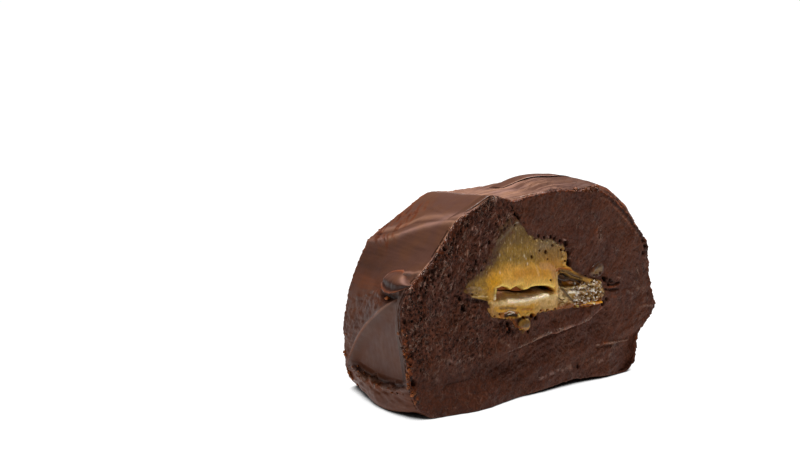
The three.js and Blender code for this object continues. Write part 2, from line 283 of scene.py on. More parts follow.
def softened(points: tuple, step: float, softness: float) -> Array:
    """Round a closed outline's corners: points every step, each a bell-weighted mean of its own.

    Args:
        points: The outline's corners, each two or four numbers.
        step: Distance between the new points, in mm.
        softness: Width of the weighting bell, in mm.

    Returns:
        The new points, one row each.
    """
    corners = np.array(points, dtype=float)
    ahead = np.roll(corners, -1, axis=0)
    runs = []
    for here, there in zip(corners, ahead):
        count = max(1, round(math.dist(here[:2], there[:2]) / step))
        share = np.arange(count)[:, None] / count
        runs.append(here + (there - here) * share)
    fine = np.concatenate(runs)
    reach = round(3 * softness / step)
    offsets = np.arange(-reach, reach + 1)
    weights = np.exp(-0.5 * (offsets * step / softness) ** 2)
    blurred = sum(w * np.roll(fine, -k, axis=0) for w, k in zip(weights, offsets))
    return blurred / weights.sum()


def even_columns(fine: Array, count: int) -> Array:
    """Cut a closed outline into equal lengths.

    Args:
        fine: The outline's points; the first two numbers of each measure its length.
        count: How many points to return.

    Returns:
        The points at equal steps along the outline.
    """
    closed = np.concatenate([fine, fine[:1]])
    lengths = np.concatenate([[0.0], np.cumsum(np.hypot(*np.diff(closed[:, :2], axis=0).T))])
    wanted = lengths[-1] * np.arange(count) / count
    even = [np.interp(wanted, lengths, closed[:, k]) for k in range(closed.shape[1])]
    return np.stack(even, axis=1)


def polar_radius(outline: Array, centre: tuple, angles: Array) -> Array:
    """Distance from a centre to an outline that is seen whole from it, along each angle."""
    away = outline - np.array(centre)
    turn = np.arctan2(away[:, 1], away[:, 0])
    order = np.argsort(turn)
    return np.interp(angles, turn[order], np.hypot(*away[order].T), period=2.0 * math.pi)


def grid_faces(rows: int, columns: int, rolled: bool) -> Array:
    """Four-sided faces between the rings of a grid whose columns close on themselves.

    Args:
        rows: How many rings.
        columns: How many points in a ring.
        rolled: Whether the last ring joins the first.

    Returns:
        Corner numbers, four a face, facing out where rings run forward to back.
    """
    row = np.arange(rows if rolled else rows - 1)[:, None]
    column = np.arange(columns)[None, :]
    after, below = (column + 1) % columns, (row + 1) % rows
    corners = [row * columns + column, row * columns + after]
    corners += [below * columns + after, below * columns + column]
    return np.stack(corners, axis=-1).reshape(-1, 4)


def outward(grid: Array, rolled: bool) -> Array:
    """Unit normals of a grid: the cross product of its steps along columns and along rows."""
    along = np.roll(grid, -1, axis=1) - np.roll(grid, 1, axis=1)
    across = np.roll(grid, -1, axis=0) - np.roll(grid, 1, axis=0)
    if not rolled:
        across[0] = grid[1] - grid[0]
        across[-1] = grid[-1] - grid[-2]
    normal = np.cross(along, across)
    return normal / np.maximum(np.linalg.norm(normal, axis=-1, keepdims=True), 1e-9)


def make_piece(name: str, points: Array, faces: list, paint: Array,
               marks: dict, flat: bool = False) -> bpy.types.Object:
    """Put points and faces into a new mesh object that rides on the slice.

    Args:
        name: The piece's name.
        points: Points in mm as x, depth, z.
        faces: Arrays of corner numbers, one row a face.
        paint: Linear colour of each point.
        marks: Named numbers from 0 to 1, one a point, for its material to read.
        flat: Whether its faces are shaded flat.

    Returns:
        The new object, at the origin.
    """
    placed = points.reshape(-1, 3) + np.array([SIDE_SHIFT, FRONT_Y, 0.0])
    mesh = bpy.data.meshes.new(name)
    mesh.from_pydata(placed * MM, [], [face for block in faces for face in block.tolist()])
    tint = mesh.attributes.new("tint", "FLOAT_COLOR", "POINT")
    tint.data.foreach_set("color", paint.astype(np.float32).ravel())
    for mark, values in marks.items():
        layer = mesh.attributes.new(mark, "FLOAT", "POINT")
        layer.data.foreach_set("value", np.clip(values, 0.0, 1.0).astype(np.float32).ravel())
    mesh.polygons.foreach_set("use_smooth", np.full(len(mesh.polygons), not flat))
    mesh.update()
    piece = bpy.data.objects.new(name, mesh)
    bpy.context.scene.collection.objects.link(piece)
    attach(piece, "root")
    return piece


def capped(grid: Array) -> tuple[Array, list]:
    """Close a grid's first and last ring with a fan of triangles to a point each.

    Args:
        grid: Rings as x, depth, z; the points are their middles.

    Returns:
        All points, one row each, and the blocks of faces.
    """
    rows, columns = grid.shape[:2]
    points = np.concatenate([grid.reshape(-1, 3), grid[0].mean(0)[None], grid[-1].mean(0)[None]])
    column = np.arange(columns)
    after = (column + 1) % columns
    last = (rows - 1) * columns
    start = np.stack([np.full(columns, rows * columns), after, column], axis=1)
    stop = np.stack([np.full(columns, rows * columns + 1), last + column, last + after], axis=1)
    return points, [grid_faces(rows, columns, False), start, stop]


def capped_values(values: Array) -> Array:
    """Lay out a grid's values or colours as capped lays out its points."""
    return np.concatenate([values.reshape(-1, *values.shape[2:]), values[0, :1], values[-1, :1]])


def add_node(tree: bpy.types.NodeTree, kind: str, inputs: dict | None = None,
             **settings) -> bpy.types.Node:
    """Add a node to a tree.

    Args:
        tree: The material's node tree.
        kind: The node's type.
        inputs: Socket names or numbers, each with a value or an output to link.
        settings: The node's own properties.

    Returns:
        The new node.
    """
    node = tree.nodes.new(kind)
    for key, value in settings.items():
        setattr(node, key, value)
    for socket, value in (inputs or {}).items():
        if isinstance(value, Socket):
            tree.links.new(value, node.inputs[socket])
        else:
            node.inputs[socket].default_value = value
    return node


@dataclass
class Recipe:
    """A material's node tree as it is put together."""

    name: str
    tree: bpy.types.NodeTree = field(init=False)
    place: Socket = field(init=False)

    def __post_init__(self) -> None:
        """Start an empty material whose patterns are placed by Object coordinates."""
        self.material = bpy.data.materials.new(self.name)
        self.material.use_nodes = True
        self.tree = self.material.node_tree
        self.tree.nodes.clear()
        self.place = add_node(self.tree, "ShaderNodeTexCoord").outputs["Object"]

    def tint(self) -> Socket:
        """Read the piece's painted colour."""
        return add_node(self.tree, "ShaderNodeAttribute", attribute_name="tint").outputs["Color"]

    def mark(self, name: str) -> Socket:
        """Read one of the piece's own marks."""
        return add_node(self.tree, "ShaderNodeAttribute", attribute_name=name).outputs["Fac"]

    def scaled(self, size_mm: float, upright: float, lean: float) -> dict:
        """Coordinates in cells of size_mm, upright times as tall, and leaning by an angle."""
        place = add_node(self.tree, "ShaderNodeMapping",
                         {0: self.place, "Rotation": (0, lean, 0), "Scale": (1, 1, upright)},
                         vector_type="TEXTURE")
        return {"Vector": place.outputs[0], "Scale": 1.0 / (size_mm * MM)}

    def grain(self, size_mm: float, detail: float = 4.0, upright: float = 1.0,
              lean: float = 0.0) -> Socket:
        """Noise whose grains are size_mm across."""
        inputs = {**self.scaled(size_mm, upright, lean), "Detail": detail}
        return add_node(self.tree, "ShaderNodeTexNoise", inputs).outputs["Fac"]

    def cells(self, size_mm: float, upright: float = 1.0) -> Socket:
        """Distance to the nearest of scattered points that lie size_mm apart, in cells."""
        inputs = self.scaled(size_mm, upright, 0.0)
        return add_node(self.tree, "ShaderNodeTexVoronoi", inputs).outputs["Distance"]

    def between(self, value, low: float = 0.0, high: float = 1.0,
                to: tuple = (0.0, 1.0)) -> Socket:
        """Stretch a value so that low to high becomes the range of to, held at its ends."""
        inputs = {0: value, 1: low, 2: high, 3: to[0], 4: to[1]}
        return add_node(self.tree, "ShaderNodeMapRange", inputs, clamp=True).outputs[0]

    def maths(self, operation: str, first, second) -> Socket:
        """Work out one number from two."""
        return add_node(self.tree, "ShaderNodeMath", {0: first, 1: second},
                        operation=operation).outputs[0]

    def times(self, first, second) -> Socket:
        """Multiply two numbers."""
        return self.maths("MULTIPLY", first, second)

    def plus(self, first, second) -> Socket:
        """Add two numbers."""
        return self.maths("ADD", first, second)

    def less(self, first, second) -> Socket:
        """Take the second number from the first."""
        return self.maths("SUBTRACT", first, second)

    def blend(self, factor, first, second, way: str = "MIX") -> Socket:
        """Mix two colours, each given as sRGB hex or as a socket."""
        colours = [tuple(linear(c)) if isinstance(c, str) else c for c in (first, second)]
        inputs = {0: factor, 6: colours[0], 7: colours[1]}
        return add_node(self.tree, "ShaderNodeMix", inputs, data_type="RGBA",
                        blend_type=way).outputs[2]

    def bump(self, height, depth_mm: float, under=None) -> Socket:
        """Tilt the surface by a height map, over another one if given."""
        inputs = {"Height": height, "Distance": depth_mm * MM, "Strength": 1.0}
        if under is not None:
            inputs["Normal"] = under
        return add_node(self.tree, "ShaderNodeBump", inputs).outputs[0]

    def finish(self, **sockets) -> bpy.types.Material:
        """Close the material with a Principled shader, its sockets given with _ for a space."""
        inputs = {name.replace("_", " "): value for name, value in sockets.items()}
        shader = add_node(self.tree, "ShaderNodeBsdfPrincipled", inputs)
        add_node(self.tree, "ShaderNodeOutputMaterial", {"Surface": shader.outputs[0]})
        return self.material


@dataclass(frozen=True)
class FudgeFinish:
    """Chocolate fudge: smeared to a satin skin with a spatula, and torn into pores by the knife."""

    skin: str = "#4a3024"
    cut: str = "#532d1d"
    # Near-black, painted as shade in pits and holes
    deep: str = "#0e0503"
    # Painted shade in creases, hollows and undersides, and the skin's own dark streaks
    crease_and_shade: str = "#26100a"
    # Amber: the skin's own reddish streaks, and a painted glow at thin edges and rims
    amber: str = "#7c3a0e"
    # Painted highlight: the light colour laid where ridges, rims and glossy streaks catch the light
    painted_highlight: str = "#9a7664"
    stain: str = "#6a502e"

    def paint(self, marks: dict) -> Array:
        """Colour each point by its marks.

        Args:
            marks: Shares of cut, painted shade, amber, painted highlight, stain and painted shade in pits at
                each point.

        Returns:
            Linear colours.
        """
        return coats(self.skin, (
            (self.cut, marks["cut"]), (self.stain, marks["stain"]), (self.painted_highlight, marks["painted_highlight"]),
            (self.amber, marks["amber"]), (self.crease_and_shade, marks["crease_and_shade"]), (self.deep, marks["pit_shade"]),
        ))

    def piece(self, name: str, points: Array, faces: list, marks: dict) -> bpy.types.Object:
        """Make a piece of fudge, painted by its marks, with those that its material reads."""
        return make_piece(name, points, faces, self.paint(marks), {key: marks[key] for key in READ_MARKS})

    def material(self) -> bpy.types.Material:
        """Build the material from the tint and the marks cut, porous and the painted highlight.

        Returns:
            The fudge material.
        """
        mix = Recipe("chocolate_fudge")
        cut, porous, painted_highlight = mix.mark("cut"), mix.mark("porous"), mix.mark("painted_highlight")
        # Patches of 6 mm lean to red or to purple, as cocoa butter sets unevenly
        broad, middle = mix.grain(6.0, 4.0), mix.grain(1.4, 3.0, 1.7)
        # Grains of 0.5 mm give the cut its tooth; the skin has hardly any
        fine = mix.grain(0.5, 2.0, 1.7)
        pores = mix.between(mix.cells(0.9, 1.4), 0.1, 0.4)
        # The tooth lightens and darkens the colour, and the pores' hollows are darkened: painted light and
        # shade
        tooth = mix.times(mix.between(fine, 0.35, 0.65, (-1.0, 1.0)),
                          mix.between(porous, to=(0.16, 0.36)))
        shade = mix.times(mix.between(middle, 0.3, 0.7, (0.8, 1.2)), mix.plus(tooth, 1.0))
        hollow = mix.times(mix.between(pores, to=(0.4, 0.0)), porous)
        shade = mix.less(shade, hollow)
        even = mix.times(mix.less(shade, 1.0), cut)
        colour = mix.blend(1.0, mix.tint(), mix.plus(even, 1.0), "MULTIPLY")
        cast = mix.blend(mix.between(broad, 0.4, 0.6), "#fff5e9", "#f3effa")
        colour = mix.blend(1.0, colour, cast, "MULTIPLY")
        # Curls 0.3 mm thin follow the level lines of a leaning 1.4 mm noise, and break off; they are painted
        # in the light colour as a painted highlight
        swirl = mix.maths("ABSOLUTE", mix.less(mix.grain(1.4, 2.0, 2.0, 0.3), 0.5), 0.0)
        curls = mix.times(mix.between(swirl, 0.008, 0.042, (1.0, 0.0)),
                          mix.between(mix.grain(2.4, 2.0), 0.46, 0.56))
        curly = mix.plus(mix.between(porous, 0.1, 0.9, (0.1, 0.6)), mix.times(painted_highlight, 1.5))
        curls = mix.times(mix.times(curls, cut), curly)
        colour = mix.blend(curls, colour, self.painted_highlight)
        # Specks painted near-black where the grain is low: painted shade in pits
        specks = mix.times(mix.between(mix.grain(0.75, 2.0, 1.4), 0.43, 0.34, (0.0, 0.9)),
                           mix.times(cut, mix.between(porous, to=(0.15, 0.7))))
        colour = mix.blend(specks, colour, self.deep)
        grain = mix.times(fine, mix.between(cut, to=(0.05, 1.0)))
        grain = mix.plus(grain, mix.less(curls, specks))
        normal = mix.bump(grain, 0.4)
        normal = mix.bump(mix.times(pores, mix.times(porous, cut)), 0.4, normal)
        rough = mix.between(cut, to=(0.44, 0.5))
        rough = mix.plus(rough, mix.between(middle, 0.3, 0.7, (-0.08, 0.1)))
        shine = mix.times(mix.plus(painted_highlight, curls), 0.5)
        # On the skin the mark porous stands for a dull, scraped surface
        dull = mix.times(mix.between(cut, to=(0.13, 0.07)),
                         mix.between(porous, to=(1.0, 0.1)))
        coat = mix.plus(dull, shine)
        return mix.finish(Base_Color=colour, Roughness=rough, Normal=normal, IOR=1.48,
                          Specular_IOR_Level=0.1, Coat_Weight=coat, Coat_Roughness=0.3, Coat_Normal=normal)


@dataclass(frozen=True)
class CaramelFinish:
    """Soft cooked caramel: cloudy gold where thick, olive where chocolate shows through."""

    gold: str = "#d29a40"
    yellow: str = "#cc9010"
    olive: str = "#94702c"
    haze: str = "#664b26"
    grey: str = "#7c6a52"
    tan: str = "#a4783c"
    blush: str = "#b4835c"
    cream: str = "#d6b67e"
    # Painted highlight: near-white laid on the lip's crest, the drip, the blob and the glints
    white_highlight: str = "#f4e6cc"
    glow: str = "#f0d070"
    amber: str = "#a86616"
    orange: str = "#f4a02c"
    rust: str = "#8a480e"
    brown: str = "#4a2f1c"
    fudge: str = "#4c2a1b"
    # Near-black, painted as shade in the crack, grooves, bubbles and holes
    deep: str = "#140803"

    def paint(self, layers: list) -> Array:
        """Lay named colours over the gold, each by its share at each point."""
        return coats(self.gold, tuple((getattr(self, name), share) for name, share in layers))

    def material(self) -> bpy.types.Material:
        """Build the material from the tint and the marks speck and wet.

        Returns:
            The caramel material.
        """
        mix = Recipe("salted_caramel")
        speck, wet = mix.mark("speck"), mix.mark("wet")
        cloud = mix.grain(1.6, 4.0, 2.0)
        fine = mix.grain(0.34, 3.0, 2.0)
        # Dots of 0.45 mm, drawn out upright, are the chocolate that the knife smeared in
        dots = mix.grain(0.45, 2.0, 2.2)
        shade = mix.between(cloud, 0.3, 0.7, (0.86, 1.12))
        shade = mix.times(shade, mix.between(fine, 0.34, 0.66, (0.84, 1.14)))
        colour = mix.blend(1.0, mix.tint(), shade, "MULTIPLY")
        dark = mix.times(mix.between(dots, 0.48, 0.34, (0.0, 0.6)), speck)
        colour = mix.blend(dark, colour, self.haze)
        # The light dots are painted glints
        light = mix.times(mix.between(dots, 0.6, 0.72, (0.0, 0.5)), speck)
        colour = mix.blend(light, colour, self.cream)
        normal = mix.bump(mix.plus(cloud, fine), 0.16)
        rough = mix.between(fine, 0.3, 0.7, (0.36, 0.48))
        rough = mix.less(rough, mix.times(wet, 0.24))
        coat = mix.plus(mix.times(wet, 0.9), 0.05)
        return mix.finish(
            Base_Color=colour, Roughness=rough, Normal=normal, IOR=1.5, Specular_IOR_Level=0.12,
            Subsurface_Weight=0.15, Subsurface_Radius=(1.0, 0.45, 0.1), Subsurface_Scale=0.001,
            Coat_Weight=coat, Coat_Roughness=0.1, Coat_Normal=normal,
        )


@dataclass(frozen=True)
class SaltFinish:
    """Sea salt in a film of syrup: clear and amber grains that throw small white glints."""

    clear: str = "#fff6e6"
    syrup: str = "#b08450"
    dark: str = "#3a1c08"

    def material(self) -> bpy.types.Material:
        """Build the material from the tint."""
        mix = Recipe("sea_salt_in_syrup")
        normal = mix.bump(mix.grain(0.4, 2.0), 0.05)
        return mix.finish(Base_Color=mix.tint(), Roughness=0.2, Normal=normal, IOR=1.54,
                          Coat_Weight=1.0, Coat_Roughness=0.12)


@dataclass(frozen=True)
class CrumbFinish:
    """Crumbs that the knife dragged off: dark fudge, orange-brown where they are thin."""

    dark: str = "#3a1e10"
    thin: str = "#8f4a14"

    def material(self) -> bpy.types.Material:
        """Build the material from the tint."""
        mix = Recipe("fudge_crumb")
        speckle = mix.between(mix.grain(0.5, 3.0), 0.3, 0.7, (0.6, 1.3))
        colour = mix.blend(1.0, mix.tint(), speckle, "MULTIPLY")
        normal = mix.bump(mix.grain(0.3, 3.0), 0.15)
        return mix.finish(Base_Color=colour, Roughness=0.45, Normal=normal, IOR=1.48,
                          Specular_IOR_Level=0.25)


class Side(Enum):
    """Sides of the skin that carry loose leaves."""

    LEFT = "left"
    TOP = "top"


class GrainShape(Enum):
    """Shapes of a strewn grain."""

    BALL = "ball"
    CUBE = "cube"


@dataclass
class SliceForm:
    """The form that every piece shares: the outline, the core's path and the large relief."""

    columns: int
    foot_flare: float = 2.9
    front_lift: float = 1.2
    scoop_depth: float = 1.3
    scoop_top: float = 33.2
    scoop_slope: float = 0.66
    scoop_drop: float = 6.4
    scoop_reach: float = 30.7
    scoop_floor: float = 6.8
    lip_reach: float = 4.2
    lip_span: float = 17.5
    hump_height: float = 2.2
    shoulder_bulge: float = 1.7
    fold_step: float = 1.0
    worn_bevel: float = 1.4
    section_rings: int = 49

    def __post_init__(self) -> None:
        """Cut the outline into columns, and measure the core's radius and the bevel along each."""
        points = even_columns(softened(OUTLINE, 0.1, 0.8), self.columns)
        self.front, self.back = points[:, :2], points[:, 2:]
        away = self.front - np.array(CORE_CENTRE)
        self.angle = np.arctan2(away[:, 1], away[:, 0])
        self.radius = polar_radius(softened(CORE_OUTLINE, 0.05, 0.45), CORE_CENTRE, self.angle)
        self.reach = np.hypot(*away.T) - self.radius
        worn = bell(self.front[:, 1], 27.5, 5.0) * fall(self.front[:, 0], -34, -28)
        self.bevel = RIM_BEVEL + self.worn_bevel * worn

    def core_point(self, share: float, radius: Array) -> Array:
        """A ring of the core: it narrows by about a fifth and rolls a little towards the back.

        Args:
            share: How far back, from 0 at the front cut to 1 at the back cut.
            radius: Distance from the core's centre on the front cut.

        Returns:
            Points as x and z.
        """
        waist = radius * (1 - 0.22 * share + 0.1 * np.sin(3 * self.angle + 2) * share)
        x = CORE_CENTRE[0] + 2.5 * share + waist * np.cos(self.angle)
        z = CORE_CENTRE[1] - 2.0 * share + waist * np.sin(self.angle)
        return np.stack([x, z], axis=-1)

    def fold_line(self, x: Array) -> Array:
        """Height of the fold across the front cut: a slant with an upturned end."""
        return 14 + 0.18 * x + 1.6 * smooth(x, 17, 23)

    def front_relief(self, x: Array, z: Array) -> Array:
        """How far the front cut stands forward: spread foot, step under the fold, brow over it."""
        foot = self.foot_flare * bell(x, -21, 13) * fall(z, 0, 10)
        reach = plateau(x, -18, -12, 21, 27)
        under = self.fold_line(x) - z
        step = self.fold_step * plateau(under, 0, 0.7, 2, 9) * reach
        brow = 0.4 * bell(under, -1, 1.6) * reach
        uneven = 0.25 * np.sin(0.31 * x + 0.4) * np.sin(0.27 * z + 1)
        return foot - step + brow + uneven

    def back_relief(self, x: Array, z: Array) -> Array:
        """How far the back cut stands out: two crossed waves of 0.3 mm."""
        return 0.3 * np.sin(0.21 * x + 1) * np.sin(0.24 * z)

    def scoop_crest(self, d: Array) -> Array:
        """Height of the scoop's sharp crest on the left side: a slope that ends in a steep drop."""
        return self.scoop_top - self.scoop_slope * d - self.scoop_drop * (d / self.scoop_reach) ** 5

    def scoop_inside(self, d: Array, z: Array) -> Array:
        """How far inside the scoop a point of the left side is, 0 to 1."""
        inside = smooth(self.scoop_crest(d) - z, 0, 5)
        inside = inside * smooth(z - self.lip_rise(d), self.scoop_floor, self.scoop_floor + 1.2)
        return inside * smooth(self.scoop_reach - d, 0, 4) * smooth(d, 0, 5)

    def lip_rise(self, d: Array) -> Array:
        """How much higher the lip's edge lies at the front and at the back: a hanging curve."""
        return 2.1 - 0.28 * d + 0.0078 * d ** 2

    def left_relief(self, d: Array, z: Array) -> Array:
        """How far the left side stands out: the scoop, and the rolled lip at the foot."""
        along = np.cos(math.pi / 2 * np.clip(np.abs(d - 14) / self.lip_span, 0, 1)) ** 2
        above = z - self.lip_rise(d)
        lip = 0.3 * fall(above, self.scoop_floor - 0.8, self.scoop_floor)
        lip = lip + 0.7 * fall(above, 1.0, self.scoop_floor - 0.6)
        lip = self.lip_reach * lip * along * smooth(d, 0, 3) * (0.1 + 0.9 * smooth(z, 0, 2.6))
        return lip - self.scoop_depth * self.scoop_inside(d, z)

    def top_relief(self, x: Array, d: Array) -> Array:
        """How far the top stands up: a low hump, and the bulging shoulder on the right."""
        hump = plateau(x, 4, 14, 30, 38)
        hump = hump * np.sin(math.pi * np.clip(d / DEPTH, 0, 1)) ** 1.2
        shoulder = plateau(x, 17, 25, 33, 38)
        shoulder = shoulder * plateau(d, 0, 2.5, 6, 22)
        return self.hump_height * hump + self.shoulder_bulge * shoulder

    def wall(self, shares: Array) -> tuple[Array, Array]:
        """The skin, from the front rim to the back rim.

        Args:
            shares: How far back each ring is, 0 to 1.

        Returns:
            Points as x, depth, z, one ring a row, and how far each faces left and up.
        """
        share = shares[:, None, None]
        base = self.front[None] * (1 - share) + self.back[None] * share
        along = np.roll(base, -1, axis=1) - np.roll(base, 1, axis=1)
        along /= np.linalg.norm(along, axis=-1, keepdims=True)
        out = np.stack([-along[..., 1], along[..., 0]], axis=-1)
        depth = DEPTH * share[..., 0] + np.zeros(base.shape[:2])
        left = smooth(-out[..., 0], 0.35, 0.8)
        top = smooth(out[..., 1], 0.2, 0.7)
        height = left * self.left_relief(depth, base[..., 1])
        height = height + top * self.top_relief(base[..., 0], depth)
        point = base + out * height[..., None]
        low = fall(depth, 0, 5) * fall(point[..., 1], 0, 3)
        z = np.maximum(0, point[..., 1]) + self.front_lift * bell(point[..., 0], 13, 11) * low
        start = self.bevel - self.front_relief(base[..., 0], base[..., 1])
        d = start * (1 - share[..., 0]) + (DEPTH - RIM_BEVEL) * share[..., 0]
        return np.stack([point[..., 0], d, z], axis=-1), np.stack([left, top], axis=-1)

    def rounding(self, to_rim: Array) -> Array:
        """How far the front rim's quarter round falls back, at distances from the rim."""
        short = np.clip(1 - to_rim / self.bevel, 0, 1)
        return self.bevel * (1 - np.sqrt(1 - short ** 2))

    def cut_rings(self, rim: Array, share: float, inset: Array) -> Array:
        """Rings of a cut face, on straight lines from its rim to the core's outline.

        Args:
            rim: The wall's ring at this cut.
            share: 0 for the front cut, 1 for the back cut.
            inset: How far in each ring is, 0 to 1, with a number a row or a number a point.

        Returns:
            Points as x, depth, z, one ring a row.
        """
        core = self.core_point(share, self.radius)
        x = rim[None, :, 0] * (1 - inset) + core[None, :, 0] * inset
        z = rim[None, :, 2] * (1 - inset) + core[None, :, 1] * inset
        d = -self.front_relief(x, z) if share == 0.0 else DEPTH + self.back_relief(x, z)
        return np.stack([x, d, z], axis=-1)

    def tunnel_ring(self, share: float, d: float) -> Array:
        """A ring of the tunnel round the caramel, at a share of the depth."""
        core = self.core_point(share, self.radius)
        return np.stack([core[:, 0], np.full(self.columns, d), core[:, 1]], axis=-1)

    def section(self, side: Side, d: Array, other: Array) -> Array:
        """Find the skin at a depth: x at a height on the left side, or z at an x on top.

        Args:
            side: Which side of the skin.
            d: Depths.
            other: Heights on the left side, x on the top.

        Returns:
            The missing coordinate, read off section_rings rings and blended between them.
        """
        wall, _ = self.wall(np.linspace(0, 1, self.section_rings))
        peak = int(np.argmax(self.front[:self.columns // 2, 1]))
        known, wanted = (2, 0) if side is Side.LEFT else (0, 2)
        run = slice(0, peak) if side is Side.LEFT else slice(peak, self.columns // 2)
        table = []
        for ring in wall[:, run]:
            order = np.argsort(ring[:, known])
            table.append(np.interp(other, ring[order, known], ring[order, wanted]))
        table = np.stack(table)
        place = np.clip(d / DEPTH, 0, 1) * (len(table) - 1)
        low = np.minimum(place.astype(int), len(table) - 2)
        here = np.take_along_axis(table, low[None], axis=0)[0]
        there = np.take_along_axis(table, low[None] + 1, axis=0)[0]
        return here + (there - here) * (place - low)


@dataclass
class Surface:
    """A finished surface that grains can be strewn on."""

    points: Array
    normals: Array
    to_rim: Array


@dataclass
class SkinRelief:
    """Fine relief and marks of the skin, the same for each piece that shows some of it."""

    form: SliceForm
    crest_height: float = 0.42
    crest_width: float = 0.28
    crease_depth: float = 0.6

    # The thin step that runs from the shaving to the front rim: depth and z
    ledge_line = ((7.8, 34.8), (5.5, 35.3), (3.4, 35.5), (1.1, 36.4), (-1.0, 37.2))

    def torn_patch(self, d: Array, z: Array) -> Array:
        """How torn the left side is: between the scoop's crest and a line that slants back."""
        line = 34.5 - 0.33 * d
        over = smooth(z - self.form.scoop_crest(d), 0.4, 1.8) * fall(z - line, -0.6, 0.6)
        below = smooth(self.form.scoop_crest(d) - z, 0.5, 2) * smooth(z, 20, 24)
        return (over * smooth(d, 9, 13) + 0.3 * below * fall(d, 8, 14)) * smooth(d, 0.5, 3)

    def crest(self, d: Array, z: Array) -> Array:
        """The sharp line where the scoop's upper edge was pressed out."""
        line = bell(z, self.form.scoop_crest(d), self.crest_width)
        return line * plateau(d, -0.5, 2, 29, 31)

    def facet_line(self, d: Array, z: Array) -> Array:
        """Distance above the ridge between the two upper facets of the left side."""
        ridge = np.interp(d, (0.0, 6.6, 11.9, 17.8, 24.7, 32.0), (47.8, 46.6, 44.8, 42.3, 39.6, 37.6))
        return z - ridge - 0.2 * Grain(61).waves(d / 5.0, 0.5, 0.5)

    def ragged(self, grid: Array) -> Array:
        """How raggedly the knife tore the rims, about -1 to 1."""
        return Grain(71).layers(*np.moveaxis(grid, -1, 0) / 1.3, 3)

    def upper_line(self, d: Array, z: Array) -> Array:
        """Distance above the fine crease over that ridge, which it leaves towards the front."""
        crease_and_shade = np.interp(d, (0.0, 4.9, 11.8, 18.8, 23.3, 32.0), (48.4, 47.2, 45.9, 44.3, 41.7, 39.0))
        return z - crease_and_shade

    def pocket(self, d: Array, z: Array) -> Array:
        """The hollow under the curled-up shaving, which is also painted dark as shade."""
        low = np.interp(d, (0.0, 2.0, 5.0, 8.0, 12.0, 15.0), (33.0, 31.9, 30.4, 29.4, 29.2, 30.2))
        return bell(z, low, 0.9) * plateau(d, 0.8, 3.0, 11, 14)

    def edge(self, grid: Array, to_rim: Array) -> Array:
        """Relief round the front rim: torn, crisp at the top left, worn round at the left.

        Args:
            grid: Points as x, depth, z.
            to_rim: Distance from the rim in mm.

        Returns:
            The height in mm.
        """
        x, z = grid[..., 0], grid[..., 2]
        crisp = smooth(z, 24, 30) * fall(x, -18, -12)
        torn = self.ragged(grid) * (0.24 + 0.1 * smooth(x, 22, 30) - 0.16 * crisp) * bell(to_rim, 0, 0.9)
        return torn * smooth(z, 0.3, 1.5)

    def rim_marks(self, grid: Array, to_rim: Array, on_cut: bool) -> dict:
        """Colours of the front rim: amber and crumbly, with gaps painted dark as shade, or a thin edge
        painted light as a highlight.

        Args:
            grid: Points as x, depth, z.
            to_rim: Distance from the rim in mm.
            on_cut: Whether the points lie on the cut rather than on the skin.

        Returns:
            Shares of amber, painted shade, painted shade in pits and painted highlight.
        """
        x, z = grid[..., 0], grid[..., 2]
        speck = smooth(Grain(73).layers(x / 0.9, grid[..., 1] / 0.9, z / 0.9, 2), -0.25, 0.35)
        foot = fall(x, -34, -28) * plateau(z, 2.5, 5, 19.5, 24)
        crown = smooth(z, 32.5, 36) * fall(x, -20, -16)
        right = smooth(x, 20, 26) * smooth(z, 2, 6)
        inner = bell(to_rim, 0.7, 0.7) if on_cut else bell(to_rim, 0.0, 0.4)
        band = crown * fall(to_rim, 1.2, 2.0) * on_cut
        top = smooth(z, 46.5, 49) * smooth(x, -13, -9) * fall(to_rim, 0.4, 1.1)
        amber = 0.8 * inner * foot * (0.35 + 0.65 * speck) + band * (0.7 + 0.3 * speck)
        amber = amber + bell(to_rim, 0.1, 0.35) * right * (0.2 + 0.6 * speck) + 0.9 * top * on_cut * speck
        ridge = bell(to_rim, 1.7, 0.3) * smooth(x, 20, 24) * smooth(z, 34, 38)
        amber = amber + 0.8 * ridge * (0.3 + 0.7 * speck)
        edge = bell(to_rim, 0.0, 0.2) * crown * (0.3 + 0.8 * speck)
        gap_shade = bell(to_rim, 0.8, 0.6) * right * smooth(z, 28, 34) * (0.45 + 0.55 * speck)
        return {
            "amber": amber * smooth(z, 0.5, 3.0),
            "crease_and_shade": np.maximum.reduce([0.95 * gap_shade, 0.72 * band, 0.6 * top * on_cut]),
            "pit_shade": np.maximum(0.9 * foot * inner * fall(speck, 0.0, 0.35), 0.9 * gap_shade * (1 - speck)),
            "painted_highlight": np.maximum(0.4 * ridge * speck, edge),
        }

